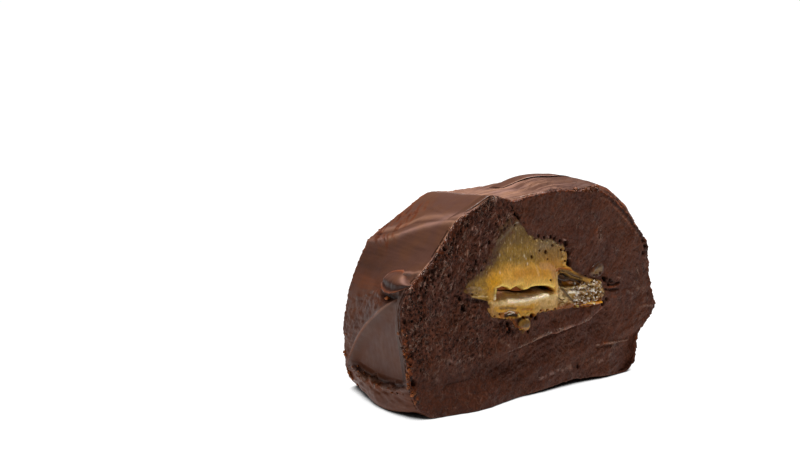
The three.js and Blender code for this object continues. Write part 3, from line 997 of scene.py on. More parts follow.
    def height(self, grid: Array, facing: Array) -> Array:
        """Relief: spatula streaks, soft waves, torn patches, the crest and the lip's crease.

        Args:
            grid: Points of the skin as x, depth, z.
            facing: How far each faces left and up.

        Returns:
            The height in mm.
        """
        x, d, z = np.moveaxis(grid, -1, 0)
        left, top = facing[..., 0], facing[..., 1]
        upper = smooth(z, 30, 36) * fall(x, -16, -8)
        grain = Grain(53)
        soft = 0.2 * grain.waves(x / 9.0, d / 9.0, z / 9.0)
        soft = soft + 0.07 * grain.waves(x / 3.1, d / 5.0, z / 3.1)
        pulled = 0.035 * grain.waves((x + z) / 1.2, d / 17.0, (z - x) / 1.2)
        pulled = pulled * np.maximum(left, upper)
        stroked = 0.07 * grain.waves((x + 2 * d) / 16.0, d / 1.5, 0.5)
        stroked = stroked + 0.04 * grain.waves(x / 9.0, d / 0.7, 4.5)
        stroked = stroked * top * smooth(x, -16, -8)
        line, fine_line = self.facet_line(d, z), self.upper_line(d, z)
        facets = 0.14 * bell(line, 0, 0.6) - 0.1 * bell(fine_line, 0, 0.3) + 0.08 * bell(fine_line, 0.9, 0.5)
        facets = facets * upper
        ledge = 0.4 * along_line(d, z, self.ledge_line, 0.4) * left
        calm = 1 - 0.85 * left * self.form.scoop_inside(d, z)
        torn = left * self.torn_patch(d, z)
        rough = 0.22 * grain.layers(x / 2.0, (d - z) / 3.0, (z + d) / 1.7, 3) * torn
        crest = self.crest_height * self.crest(d, z) * left
        above = z - self.form.lip_rise(d)
        roll = left * fall(above, 5.0, 6.6) * smooth(z, 0.2, 2.0)
        wrinkles = roll * 0.3 * grain.layers(x / 3.0, d / 4.2, z, 3)
        wander = 6.9 + 0.3 * np.sin(0.8 * d) + 0.3 * grain.waves(d / 1.4, 0.5, 0.5)
        along = left * plateau(d, 1, 5, 25, 29)
        crease_and_shade = along * bell(above, wander, 0.3)
        crumbly = 0.9 * along * bell(above, wander - 1.1, 0.7) * (0.6 + grain.layers(x / 1.2, d / 1.5, z, 3))
        side = (1 - left) * (1 - top) * smooth(x, 0, 10)
        lumps = 0.35 * grain.layers(x / 6.0, d / 5.0, z / 5.0, 4) * side * smooth(z, 0.5, 3.0)
        patchy = 0.08 * grain.layers(x / 2.6, d / 1.6, 7.5, 4) * top * smooth(x, -9, -3)
        total = (soft + pulled + stroked) * calm + facets + ledge + rough + crest + wrinkles + patchy
        total = total - self.crease_depth * crease_and_shade + crumbly + lumps
        total = total - 1.1 * left * self.pocket(d, z)
        return total * smooth(z, 0.0, 1.5)

    def marks(self, grid: Array, facing: Array) -> dict:
        """Marks of the skin for its finish.

        Args:
            grid: Points of the skin as x, depth, z.
            facing: How far each faces left and up.

        Returns:
            Shares of cut, porous, painted shade, amber, painted highlight, stain and painted shade in pits.
        """
        x, d, z = np.moveaxis(grid, -1, 0)
        left, top = facing[..., 0], facing[..., 1]
        grain = Grain(59)
        blotch = smooth(grain.layers(x / 1.5, d / 1.5, z / 1.5, 3), 0.05, 0.5)
        upper = smooth(z, 36, 40) * fall(x, -20, -14)
        line, fine_line = self.facet_line(d, z), self.upper_line(d, z)
        above = z - self.form.lip_rise(d)
        lines = upper * (0.6 * bell(fine_line, 0, 0.28) + 0.3 * bell(z - 48.0 + 0.05 * d, 0, 0.2))
        streaks = smooth(grain.layers((d + z) / 4.0, (d - 1.6 * z) / 1.3, 3.5, 3), -0.05, 0.45)
        warm = upper * streaks * smooth(d, 19, 25)
        lip_edge = left * bell(above, 5.9, 0.8) * plateau(d, 0, 4, 26, 30)
        lip_crease = left * bell(above, 7.0, 0.35) * plateau(d, 1, 5, 25, 29)
        behind = left * smooth(z - self.form.scoop_crest(d), 0.4, 1.4) * fall(z, 30, 33)
        dapple = smooth(grain.layers(d / 4.0, z / 4.0, 9.5, 2), -0.1, 0.5) * behind
        crest = left * self.crest(d, z)
        scoop = left * self.form.scoop_inside(d, z)
        sheen_streaks = smooth(Grain(67).layers(x / 7.0, d / 0.6 + 0.1 * x, 0.5, 2), 0.0, 0.45)
        sheen_streaks = sheen_streaks * top * smooth(x, -11, -5) * (1 - 0.85 * smooth(x, 9, 18))
        gleam = top * bell(x, 5.5, 4.0) * bell(d - 19.0 + 0.28 * (x - 5.5), 0, 1.4)
        ledge = left * along_line(d, z, self.ledge_line, 0.35)
        shade = left * smooth(d, 10, 26) * smooth(z, 30, 34) * fall(line, -3, -0.5)
        ridge_sheen = 0.4 * bell(line, 0, 0.7) + 0.25 * bell(fine_line, 0.9, 0.6)
        band = left * bell(self.form.scoop_crest(d) - z, 0.0, 0.5) * smooth(d, 16, 22)
        cracks = fall(np.abs(grain.layers(x / 5.0, d / 2.4, 11.5, 2)), 0.02, 0.1)
        cracks = cracks * top * smooth(x, 0, 4) * fall(d, 9, 15)
        blank = np.zeros(x.shape)
        # The crest, ledge, facet ridges, sheen streaks, gleam, lip edge and the top's left are painted light
        # as highlights; the lip's crease, the facet's shade, the scoop and the pocket under the shaving are
        # painted dark as shade
        return {
            "cut": 0.12 * left * self.torn_patch(d, z),
            "porous": 0.9 * scoop + 0.6 * behind,
            "crease_and_shade": 0.6 * lines + 0.7 * lip_crease + 0.3 * shade + 0.75 * warm * streaks + 0.16 * scoop
            + 0.3 * dapple + 0.8 * cracks + 0.12 * top * smooth(x, 5, 11),
            "amber": 0.2 * crest + 0.4 * lip_edge * blotch + 0.6 * warm + 0.3 * band + 0.16 * scoop
            + 0.16 * behind + 0.2 * left * fall(above, 4.6, 6.0),
            "painted_highlight": 0.5 * crest + 0.35 * ledge + upper * ridge_sheen + 0.35 * sheen_streaks + 0.55 * gleam
            + 0.25 * lip_edge * (1 - blotch) + 0.25 * top * plateau(x, -11, -6, 0, 6),
            "stain": blank,
            "pit_shade": 0.8 * left * self.pocket(d, z),
        }


@dataclass
class FrontCut:
    """The front cut: a slab of torn fudge that wraps just round its rim."""

    columns: int = 940
    face_rings: int = 85
    # The slab's thickness, and the distance from the core that points off its face are given
    slab: float = 4.6
    far: float = 30.0
    finish: FudgeFinish = FudgeFinish()

    # Distances from the rim of the rings that round it off, in mm
    rim_steps = (0.06, 0.15, 0.28, 0.45, 0.7, 1.0, 1.4, 1.9)
    # Shares of the depth at which the rings of its strip of skin lie
    strip_shares = (0.0, 0.003, 0.008, 0.014, 0.019, 0.024, 0.0288, 0.0294, 0.03)
    # Holes in the cut: x, z, radius and depth in mm
    holes = (
        (-22.5, 26.1, 0.8, 1.7), (-23.5, 28.5, 0.6, 1.3), (-35.7, 25.4, 0.5, 1.0), (-18.7, 37.3, 0.5, 1.0),
        (-14.8, 41.5, 0.5, 0.9), (-27.4, 35.0, 0.45, 0.9), (-3.6, 42.5, 0.5, 0.9), (0.7, 41.2, 0.45, 0.9),
        (2.6, 40.6, 0.4, 0.8), (4.7, 40.4, 0.5, 0.9), (6.0, 39.7, 0.45, 0.8), (7.8, 39.0, 0.5, 0.9),
        (9.7, 38.1, 0.65, 1.2), (10.2, 35.3, 0.8, 1.5), (10.7, 32.9, 0.95, 1.8), (22.4, 20.7, 0.8, 1.5),
        (23.0, 27.0, 0.7, 1.4), (24.3, 25.3, 0.4, 1.0), (23.6, 21.6, 0.45, 1.0), (25.0, 26.6, 0.35, 0.9),
        (36.2, 35.7, 0.6, 1.2), (37.0, 33.9, 0.5, 1.0), (36.4, 32.2, 0.5, 1.0), (0.2, 20.2, 0.6, 1.2),
        (-8.2, 18.5, 0.5, 1.0), (-6.6, 47.6, 0.55, 1.2), (-5.8, 46.6, 0.5, 1.1), (-7.6, 49.4, 0.4, 0.9),
        (-37.4, 9.6, 0.8, 1.6), (14.9, 4.6, 0.5, 1.0), (-28.6, 41.7, 0.45, 1.0), (-2.2, 17.0, 0.4, 0.8),
        (18.4, 29.0, 0.4, 0.9), (16.6, 28.4, 0.45, 1.0), (-8.6, 20.0, 0.6, 1.2),
    )
    # Smeared strokes that stand out and catch the light: share, width, and corners as x and z
    highlight_strokes = (
        (0.9, 0.4, (21.8, 20.6), (22.0, 19.4), (20.7, 18.4), (16.7, 16.9), (10.9, 15.9), (5.6, 15.5),
         (2.0, 15.0), (-2.5, 13.9), (-9.6, 12.7)),
        (0.5, 0.5, (2.0, 3.9), (4.7, 4.5), (9.6, 4.9), (12.0, 5.2)),
        (1.0, 0.2, (21.1, 9.4), (22.9, 9.5), (25.0, 9.3), (28.8, 9.2), (32.0, 9.0)),
        (0.6, 0.2, (25.0, 26.9), (26.8, 27.1), (28.4, 26.6)), (0.6, 0.2, (25.2, 24.5), (27.2, 24.3)),
        (0.5, 0.4, (27.2, 8.9), (26.7, 8.5), (26.0, 6.7), (24.2, 5.4), (22.1, 4.7)),
        (0.5, 0.35, (-28.6, 12.4), (-26.9, 13.7), (-25.6, 12.7), (-23.7, 12.9)),
        (0.35, 0.8, (-30.9, 10.8), (-30.4, 8.2)), (0.4, 0.4, (-11.2, 16.1), (-9.6, 14.8), (-8.3, 13.6)),
        (0.6, 0.3, (-20.9, 42.9), (-22.1, 40.5), (-23.3, 37.7)), (0.3, 0.35, (-25.4, 43.4), (-27.8, 40.8)),
        (0.45, 0.3, (-28.1, 38.4), (-29.5, 36.1), (-30.7, 33.5)), (0.4, 0.4, (-9.6, 48.2), (-8.0, 45.5)),
        (0.4, 0.25, (35.0, 17.7), (38.1, 17.7), (40.3, 17.1)),
        (0.5, 0.5, (31.3, 22.6), (32.6, 21.8), (32.7, 20.8)),
        (0.5, 0.25, (36.4, 31.4), (37.3, 30.8), (37.6, 29.4)), (1.0, 0.2, (3.3, 40.9), (4.0, 40.4)),
        (1.0, 0.2, (8.9, 39.3), (9.5, 38.9)), (1.0, 0.2, (11.0, 34.3), (11.2, 33.9)),
        (0.9, 0.2, (19.4, 25.1), (19.8, 26.2)), (0.9, 0.2, (21.6, 26.6), (22.0, 24.2)),
    )
    # Cracks and stripes that lie in shadow: share, width, and corners as x and z
    dark_strokes = (
        (0.5, 0.3, (-28.1, 7.5), (-25.4, 7.6), (-22.0, 7.7), (-19.2, 7.9)),
        (0.35, 0.3, (-14.6, 8.3), (-11.7, 8.8), (-8.8, 10.0)),
        (0.4, 0.3, (21.3, 8.7), (25.0, 8.6), (28.8, 8.5)),
        (0.8, 0.6, (-21.8, 28.0), (-19.2, 27.7), (-16.2, 27.2), (-15.8, 26.0)),
        (0.6, 0.5, (-9.6, 12.1), (-2.5, 13.2), (3.4, 13.8), (8.3, 14.6), (14.0, 15.6)),
        (0.5, 0.7, (-16.5, 32.0), (-14.8, 36.0)), (0.8, 0.4, (22.6, 27.4), (23.8, 26.2), (26.2, 25.9)),
        (0.9, 0.35, (23.2, 24.2), (25.4, 23.8), (27.8, 23.6)),
        (0.9, 0.3, (24.4, 25.2), (26.6, 25.0), (28.4, 25.3)),
        (0.4, 0.9, (-12.9, 20.7), (-9.4, 19.9), (-7.4, 17.6)), (0.5, 0.5, (-24.5, 32.5), (-18.5, 36.9)),
    )
    # Streaks painted amber as a glow where the fudge is thin: share, width, and corners as x and z
    amber_strokes = (
        (0.6, 0.4, (21.8, 20.6), (22.0, 19.4), (20.7, 18.2), (16.7, 16.7), (10.9, 15.6), (5.6, 15.1)),
        (0.9, 0.35, (-8.9, 21.0), (-8.8, 19.9), (-9.1, 18.7)), (0.6, 0.4, (25.1, 22.1), (26.9, 21.7)),
        (0.8, 0.25, (23.2, 9.6), (24.2, 9.5)), (0.8, 0.3, (24.2, 24.6), (26.0, 24.5), (28.2, 24.7)),
        (0.9, 0.3, (21.5, 20.4), (21.6, 19.2), (20.4, 18.0)), (0.5, 0.7, (36.8, 36.2), (37.4, 34.0)),
        (0.5, 0.6, (19.7, 40.4), (20.2, 38.0)),
    )
    # Wrinkled patches that shine in fine upright lines: x, z, half width, half height, share
    wrinkled = (
        (17.5, 43.5, 2.2, 2.2, 0.8), (21.1, 38.9, 1.6, 3.4, 0.9), (29.2, 42.9, 1.6, 2.4, 0.8),
        (14.1, 43.1, 1.4, 1.6, 0.7), (35.6, 27.5, 2.6, 6.0, 0.9), (37.0, 34.0, 1.6, 2.6, 0.9),
        (25.0, 24.8, 2.2, 2.2, 0.6), (-26.5, 12.6, 3.4, 1.6, 0.7), (-19.5, 11.4, 2.6, 1.6, 0.5),
        (24.0, 18.0, 6.0, 3.0, 0.3), (26.0, 34.0, 3.0, 3.0, 0.35),
    )

    def __post_init__(self) -> None:
        """Settle the shared form at this piece's fineness."""
        self.form = SliceForm(self.columns)
        self.skin = SkinRelief(self.form)

    def zones(self, x: Array, z: Array) -> tuple[Array, Array]:
        """How the knife left the cut: torn into pores, and drawn into upright furrows.

        Args:
            x: Places along the width.
            z: Heights.

        Returns:
            Shares of pores and of furrows, 0 to 1.
        """
        rim_x = np.interp(z, [row[1] for row in OUTLINE[:11]], [row[0] for row in OUTLINE[:11]])
        strip = fall(x - rim_x, 3.0, 11.0) * smooth(z + 0.3 * (x + 30), 7, 14)
        left = 0.45 * smooth(-x, 10, 18) * smooth(z + 0.3 * (x + 30), 9, 18)
        crown = 0.5 * smooth(z, 40, 45) * fall(x, -9, -2)
        under_core = 0.8 * bell(x, -9, 5) * bell(z, 18.6, 2.6)
        beside_core = 0.5 * bell(x, 8, 5) * bell(z, 38.8 - 0.5 * (x - 5), 1.6)
        pores = np.maximum.reduce([0.9 * strip, left, crown, under_core, beside_core])
        pores = np.clip(pores + 0.1 * smooth(z - self.form.fold_line(x), -1, 3), 0.05, 1)
        furrows = smooth(z, 26, 36) * fall(x, -16, -8) + 0.3
        return pores, np.clip(furrows, 0, 1)

    def detail(self, x: Array, z: Array) -> tuple[Array, dict]:
        """Relief of the cut: lumps, furrows, pores, smears, strokes and holes.

        Args:
            x: Places along the width.
            z: Heights.

        Returns:
            The height in mm, and shares of pores, painted shade in creases and valleys, painted shade in
            pits, amber, and painted highlights.
        """
        pores, furrows = self.zones(x, z)
        grain, other = Grain(11), Grain(29)
        lean = x - 0.3 * z
        lumps = 0.3 * grain.layers(x / 4.0, z / 5.0, 2.5, 3)
        lumps = lumps + (0.08 + 0.12 * pores) * other.layers(lean / 1.4, z / 2.0, 21.5, 3)
        wrinkled = sum(share * bell(np.hypot((x - at_x) / wide, (z - at_z) / high), 0, 1)
                       for at_x, at_z, wide, high, share in self.wrinkled)
        wrinkled = wrinkled * smooth(other.layers(x / 1.6, z / 2.4, 11.5, 2), -0.4, 0.3)
        furrow = (0.28 * furrows + 0.34 * wrinkled) * grain.layers(lean / 0.62, z / 3.4, 0.5, 2)
        puffy = np.abs(other.layers(lean / 1.1 + 0.25 * grain.waves(x, z, 9.5), z / 2.2, 1.5, 2))
        puff_crease_shade = fall(puffy, 0.0, 0.16)
        coarse = grain.pits(lean / 1.2 + 0.3 * grain.waves(x, z, 1.5), z / 1.9, 0.3)
        fine = other.pits(lean / 0.8, z / 1.2 + 0.2 * grain.waves(x, z, 3.5), 0.4)
        ridges = furrow * (0.4 + 0.6 * np.maximum(pores, wrinkled)) + 0.5 * pores * (puffy - 0.3)
        below = fall(z - self.form.fold_line(x), -1.5, 0.5)
        smears = 0.16 * Grain(31).layers((x + 2.2 * z) / 14.0, (z - 0.35 * x) / 1.5, 0.5, 2)
        ridges = ridges + smears * below * smooth(x, -24, -14)
        height = lumps + ridges - pores * (0.5 * coarse + 0.4 * fine)
        height = height - 2.0 * smooth(x, 26, 36) * fall(z, 7, 13)
        painted_highlight, dark, amber = (
            np.maximum.reduce([share * along_line(x, z, line, width) for share, width, *line in strokes])
            for strokes in (self.highlight_strokes, self.dark_strokes, self.amber_strokes))
        broken = smooth(Grain(37).layers(x / 1.4, z / 1.4, 0.5, 3), -0.5, 0.3)
        height = height + 0.45 * painted_highlight * (0.3 + 0.7 * broken) - 0.5 * dark
        hole = np.zeros(x.shape)
        for hole_x, hole_z, radius, deep in self.holes:
            well = np.hypot(x - hole_x, 0.8 * (z - hole_z)) / radius
            well = fall(well, 0.35, 1.15)
            height = height - deep * well
            hole = np.maximum(hole, well)
        # Pits and holes are painted near-black as shade, and pore rims light as a painted highlight
        pit_shade = np.maximum(pores * np.maximum(0.7 * coarse, 0.85 * fine), hole)
        rims = pores * plateau(fine, 0.0, 0.12, 0.12, 0.4)
        lit = smooth(ridges, 0.05, 0.2) * smooth(other.layers(x / 0.8, z / 2.4, 7.5, 2), -0.2, 0.4)
        valley_shade = 0.45 * smooth(-ridges, 0.08, 0.3)
        # Darker towards the bottom of the cut: painted shade
        low = 0.25 * fall(z, 7, 15) * fall(x, -8, 6)
        shiny = np.clip(0.7 * furrows * furrows + 0.6 * wrinkled, 0, 0.9)
        warm = 0.7 * wrinkled * smooth(x, 8, 12) * smooth(z, 33, 36) * fall(x, 27, 31)
        return height, {
            "porous": np.maximum(pores, 0.8 * wrinkled).clip(0.12), "pit_shade": pit_shade,
            "painted_highlight": np.maximum(painted_highlight * broken, shiny * lit + 0.15 * wrinkled + 0.15 * rims),
            "crease_and_shade": np.maximum.reduce([0.45 * pores * puff_crease_shade, valley_shade, dark, low]),
            "amber": np.maximum(amber * (0.4 + 0.6 * broken), warm * lit),
        }

    def all_marks(self, visible: Array, face: dict, to_rim: Array,
                  border: Array, skin: dict) -> dict:
        """Join the marks of the face and of the strip of skin, and add those of the rim.

        Args:
            visible: Points of face and skin as x, depth, z.
            face: The face's marks.
            to_rim: Distance from the rim in mm.
            border: Distance from the core in mm.
            skin: The skin's marks.

        Returns:
            Shares of each mark at each point.
        """
        x, z = visible[..., 0], visible[..., 2]
        blank = np.zeros(face["pit_shade"].shape)
        face = {"cut": blank + 1.0, "stain": blank, **face}
        marks = {name: np.concatenate([face[name], skin[name]]) for name in skin}
        on_cut = len(face["pit_shade"])
        rims = (self.skin.rim_marks(visible[:on_cut], to_rim[:on_cut], True),
                self.skin.rim_marks(visible[on_cut:], to_rim[on_cut:], False))
        for name in rims[0]:
            rim = np.concatenate([rims[0][name], rims[1][name]])
            marks[name] = np.maximum(marks[name], rim)
        marks["porous"] = marks["porous"] * (1 - np.clip(0.9 * marks["amber"], 0, 1))
        smear = 0.6 * along_line(x, z, ((-8.3, 46.3), (-10.2, 45.0), (-11.7, 44.4)), 0.6)
        marks["stain"] = np.maximum(0.8 * seep(x, z, -border), smear)
        return marks

    def build(self) -> tuple[bpy.types.Object, Surface]:
        """Make the slab as one rolled grid: face, rim, a strip of skin, its back and its bore.

        Returns:
            The piece, and its face and rim for crumbs.
        """
        form = self.form
        shares = np.array(self.strip_shares)
        wall, facing = form.wall(shares)
        near = np.array(self.rim_steps)[:, None] / form.reach[None]
        even = np.linspace(0, 1, self.face_rings + 1)[1:, None]
        inset = np.concatenate([near, near[-1:] + (1 - near[-1:]) * even])[::-1]
        inward = inset * form.reach[None]
        face = form.cut_rings(wall[0], 0.0, inset)
        face[..., 1] += form.rounding(inward)
        back = form.cut_rings(wall[-1], 0.0, np.array([[0.04], [0.5], [1.0]]))
        back = back + np.array([0.0, self.slab, 0.0])
        grid = np.concatenate([face, wall, back, form.tunnel_ring(0.0, 1.0)[None]])
        rows, shown = len(face), len(face) + len(wall)
        to_rim = np.concatenate([inward, DEPTH * shares[:, None] + np.zeros(self.columns)])
        border = np.full(to_rim.shape, self.far)
        border[:rows] = form.reach[None] - inward
        height, marks = self.detail(face[..., 0], face[..., 2])
        height = height * smooth(to_rim[:rows], 0.0, 0.8) * smooth(border[:rows], -0.3, 0.9)
        skin = self.skin.height(wall, facing) * smooth(to_rim[rows:], 0.0, 1.2)
        # The strip's last ring dips under the body's skin
        skin = skin - 0.14 * smooth(shares, *self.strip_shares[-2:])[:, None]
        visible = grid[:shown]
        height = np.concatenate([height, skin]) + self.skin.edge(visible, to_rim)
        normals = outward(grid, True)[:shown]
        shaped = grid.copy()
        shaped[:shown] += normals * height[..., None]
        shaped[..., 2] = np.where(grid[..., 2] < RESTING, 0.0, np.maximum(shaped[..., 2], 0.0))
        marks = self.all_marks(visible, marks, to_rim, border, self.skin.marks(wall, facing))
        hidden = np.zeros((len(grid) - shown, self.columns))
        marks = {name: np.concatenate([values, hidden]) for name, values in marks.items()}
        faces = [grid_faces(len(grid), self.columns, True)]
        piece = self.finish.piece("fudge_front_cut", shaped, faces, marks)
        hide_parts("fudge")
        return piece, Surface(shaped[:shown], normals, to_rim)


@dataclass
class Skin:
    """The rest of the fudge: its skin, its underside, its back cut and its tunnel."""

    columns: int = 880
    wall_rings: int = 84
    back_rings: int = 18
    hidden_depth: float = 3.6
    finish: FudgeFinish = FudgeFinish()

    # Shares of the depth at which the wall's first and last rings lie
    near_shares = (0.02, 0.026, 0.031)
    far_shares = (0.98, 0.992, 1.0)

    def __post_init__(self) -> None:
        """Settle the shared form at this piece's fineness."""
        self.form = SliceForm(self.columns)
        self.skin = SkinRelief(self.form)

    def back_detail(self, x: Array, z: Array) -> tuple[Array, dict]:
        """Relief of the back cut: lumps, puffs and pores all over, drawn out upright.

        Args:
            x: Places along the width.
            z: Heights.

        Returns:
            The height in mm, and its marks.
        """
        grain = Grain(23)
        torn = smooth(grain.layers(x / 16.0, z / 16.0, 0.5, 2), -0.5, 0.4)
        lumps = 0.28 * grain.layers(x / 4.0, z / 5.0, 2.5, 3)
        puffy = np.abs(grain.waves(x / 1.5, z / 2.2, 1.5))
        coarse = grain.pits(x / 2.1, z / 2.9, 0.55)
        height = lumps + torn * (0.4 * puffy - 0.45 * coarse)
        blank = np.zeros(x.shape)
        # The creases between the puffs and the pits are painted dark: painted shade
        return height, {
            "cut": blank + 1, "porous": 0.2 + 0.6 * torn, "amber": blank, "painted_highlight": blank,
            "crease_and_shade": 0.5 * torn * fall(puffy, 0.0, 0.2), "stain": blank,
            "pit_shade": 0.5 * torn * coarse,
        }

    def build(self) -> tuple[bpy.types.Object, Surface]:
        """Make the body as one rolled grid: a hidden front, the skin, the back cut, the tunnel.

        Returns:
            The piece, and its skin and back cut for crumbs.
        """
        form = self.form
        even = np.linspace(0.037, 0.965, self.wall_rings - len(self.near_shares + self.far_shares))
        shares = np.concatenate([self.near_shares, even, self.far_shares])
        wall, facing = form.wall(shares)
        front_rim, _ = form.wall(np.array([0.0]))
        hidden = form.cut_rings(front_rim[0], 0.0, np.array([[1.0], [0.5], [0.05]]))
        hidden = hidden + np.array([0.0, self.hidden_depth, 0.0])
        inset = np.linspace(0, 1, self.back_rings + 1)[1:] ** 1.1
        back = form.cut_rings(wall[-1], 1.0, inset[:, None])
        tunnel = np.stack([form.tunnel_ring(share, DEPTH * share) for share in (0.8, 0.45, 0.2)])
        grid = np.concatenate([hidden, wall, back, tunnel])
        z = grid[..., 2]
        # Where the wall's rings start and stop, and where the back cut's stop
        first, last = len(hidden), len(hidden) + len(wall)
        end = last + len(back)
        normals = outward(grid, True)
        from_front = DEPTH * shares[:, None] + np.zeros(self.columns)
        from_back = np.concatenate([DEPTH - from_front, inset[:, None] * form.reach[None]])
        height = np.zeros(grid.shape[:2])
        height[first:last] = self.skin.height(wall, facing) * smooth(from_front, 0.0, 1.2)
        height[first:last] += self.skin.edge(wall, from_front)
        # Its first rings lie a little under the front cut's strip of skin
        height[first:last] -= 0.06 * fall(shares, 0.03, 0.055)[:, None]
        back_height, back_marks = self.back_detail(back[..., 0], back[..., 2])
        height[last:end] = back_height * smooth(from_back[len(wall):], 0, 0.8)
        height[first:end] += 0.14 * self.skin.ragged(grid[first:end]) * bell(from_back, 0, 0.9)
        shaped = grid + normals * (height * smooth(z, RESTING, 1.0))[..., None]
        shaped[..., 2] = np.where(z < RESTING, 0.0, np.maximum(shaped[..., 2], 0.0))
        marks = {name: np.zeros(grid.shape[:2]) for name in MARKS}
        for name, values in self.skin.marks(wall, facing).items():
            marks[name][first:last] = values
            marks[name][last:end] = back_marks[name]
        for name, values in self.skin.rim_marks(wall, from_front, False).items():
            marks[name][first:last] = np.maximum(marks[name][first:last], values)
        marks["amber"][first:end] = np.maximum(marks["amber"][first:end], 0.5 * bell(from_back, 0, 0.5))
        faces = [grid_faces(len(grid), self.columns, True)]
        piece = self.finish.piece("fudge_body", shaped, faces, marks)
        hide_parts("fudge")
        return piece, Surface(shaped[first:end], normals[first:end], from_back)


@dataclass
class Leaves:
    """Thin loose leaves of fudge: the curled shaving on the left side and the flap on top."""

    length_rings: int = 72
    section_points: int = 40
    curl_back: float = 15.8
    curl_length: float = 15.2
    flap_left: float = 4.4
    flap_length: float = 27.2
    flap_back: float = 27.0
    finish: FudgeFinish = FudgeFinish()

    # The shaving's free lower edge and rooted upper edge: depth and z
    free_edge = ((0.4, 33.4), (2.5, 32.4), (5.5, 31.0), (8.0, 30.2), (10.5, 29.9), (13.5, 30.2), (15.8, 31.4))
    rooted_edge = ((0.4, 34.0), (3.0, 34.5), (5.5, 34.8), (9.3, 35.4), (12.0, 34.9), (14.0, 34.2),
                   (15.8, 33.0))

    def __post_init__(self) -> None:
        """Settle the shared form, coarse, as leaves only look places up on it."""
        self.form = SliceForm(COARSE_COLUMNS)

    def loop(self) -> tuple[Array, Array]:
        """A leaf's section as a closed loop: down its outer side and back up its inner side.

        Returns:
            How far down each point is, 0 to 1, and 1 on the outer side and 0 on the inner one.
        """
        half = self.section_points // 2
        down = np.linspace(0.0, 1.0, half + 1)
        place = np.concatenate([down, down[-2:0:-1]])
        outer = np.concatenate([np.ones(half + 1), np.zeros(half - 1)])
        return place, outer

    def blank(self, shape: tuple) -> dict:
        """Marks that are all nought."""
        return {name: np.zeros(shape) for name in MARKS}

    def close(self, name: str, grid: Array, marks: dict) -> bpy.types.Object:
        """Close a leaf's two tips and put it into its mesh, facing out.

        Args:
            name: The piece's name.
            grid: Its rings as x, depth, z, one row each.
            marks: The marks of the rings' points.

        Returns:
            The leaf.
        """
        points, faces = capped(grid)
        if np.sum(outward(grid, False) * (grid - grid.mean(axis=1, keepdims=True))) < 0:
            faces = [block[:, ::-1] for block in faces]
        values = {key: capped_values(v) for key, v in marks.items()}
        piece = self.finish.piece(name, points, faces, values)
        return piece

    def build_curl(self) -> bpy.types.Object:
        """Make the shaving: it peels off the left side at its top and stands free below.

        Both edges are broken lines over its length, and its outer side swells from a thin
        rim to its free lower edge.

        Returns:
            The curl.
        """
        run = np.linspace(0.02, 0.98, self.length_rings)[:, None]
        place, outer = self.loop()
        d = self.curl_back - self.curl_length * run + 0.0 * place
        low = follow(self.free_edge, d)
        high = np.maximum(follow(self.rooted_edge, d), low + 0.3)
        z = high - (high - low) * place
        taper = np.sin(math.pi * run) ** 0.5
        swell = 1.35 * smooth(place, 0.0, 0.45) * (1 - 0.6 * smooth(place, 0.5, 0.84))
        swell = 0.3 * bell(place, 0.05, 0.06) + swell + 0.5 * smooth(place, 0.86, 0.97)
        swell = swell + 0.35 * bell(run, 0.06, 0.05)
        swell = swell + 0.14 * Grain(83).layers(run * 5 + place, place * 1.5 - 2 * run, 0.5, 2)
        inner = swell * taper - 0.55 - 0.5 * (1 - place)
        away = np.where(outer > 0, swell * taper, inner) - 0.25 * fall(place, 0, 0.1)
        x = self.form.section(Side.LEFT, d, z)
        grid = np.stack([x - 0.97 * away, d, z + 0.2 * away], axis=-1)
        marks = self.blank(grid.shape[:2])
        crumbly = 0.5 + 0.5 * smooth(Grain(85).layers(d / 0.8, z / 0.8, 0.5, 2), -0.3, 0.3)
        # Its lips are painted amber and a highlight runs across it; the lower part of its outer side is
        # painted dark and its inner side near-black, as shade
        marks["amber"] += 0.45 * bell(place, 0.04, 0.05) * outer + 0.5 * bell(place, 0.98, 0.06) * crumbly
        gleam = bell(place - 0.12 - 0.9 * (run - 0.5), 0, 0.1) * smooth(run, 0.45, 0.6)
        marks["painted_highlight"] += (0.4 * gleam + 0.2 * bell(run, 0.05, 0.04)) * outer
        marks["porous"] += smooth(place, 0.3, 0.5)
        marks["crease_and_shade"] += 0.6 * smooth(place, 0.45, 0.6) * outer * fall(place, 0.86, 0.94)
        marks["pit_shade"] += 0.6 * (1 - outer)
        return self.close("fudge_curl", grid, marks)

    def build_flap(self) -> bpy.types.Object:
        """Make the flap: a thin lens lying on the hump, its front edge lifted off it.

        Returns:
            The flap.
        """
        run = np.linspace(0.01, 0.99, self.length_rings)[:, None]
        place, outer = self.loop()
        x = self.flap_left + self.flap_length * run + 0.0 * place
        front = 20.6 - 0.28 * x + 1.6 * (1 - np.sin(math.pi * run) ** 0.5)
        d = self.flap_back + (front - self.flap_back) * place
        taper = np.sin(math.pi * run) ** 0.6
        lift = 0.1 + 0.22 * smooth(place, 0.3, 1.0) * (1.3 - run)
        middle = 0.25 + 0.75 * smooth(1 - place, 0.0, 0.5)
        thick = middle * taper * fall(1 - place, 0.6, 1.0)
        grain = Grain(89)
        wavy = 0.1 * grain.waves(x / 4.0, d / 3.0, 0.5) + 0.05 * grain.waves(x / 12.0, d / 0.9, 2.5)
        z = self.form.section(Side.TOP, d, x) + lift * taper - 0.35 * fall(place, 0, 0.3)
        z = z + np.where(outer > 0, thick + wavy * taper, 0.0)
        grid = np.stack([x, d, z], axis=-1)
        marks = self.blank(grid.shape[:2])
        # The front edge is painted light as a highlight, and the underside dark as shade
        marks["painted_highlight"] += 0.7 * bell(place, 0.97, 0.05)
        marks["crease_and_shade"] += 0.3 * (1 - outer)
        return self.close("fudge_top_flap", grid, marks)


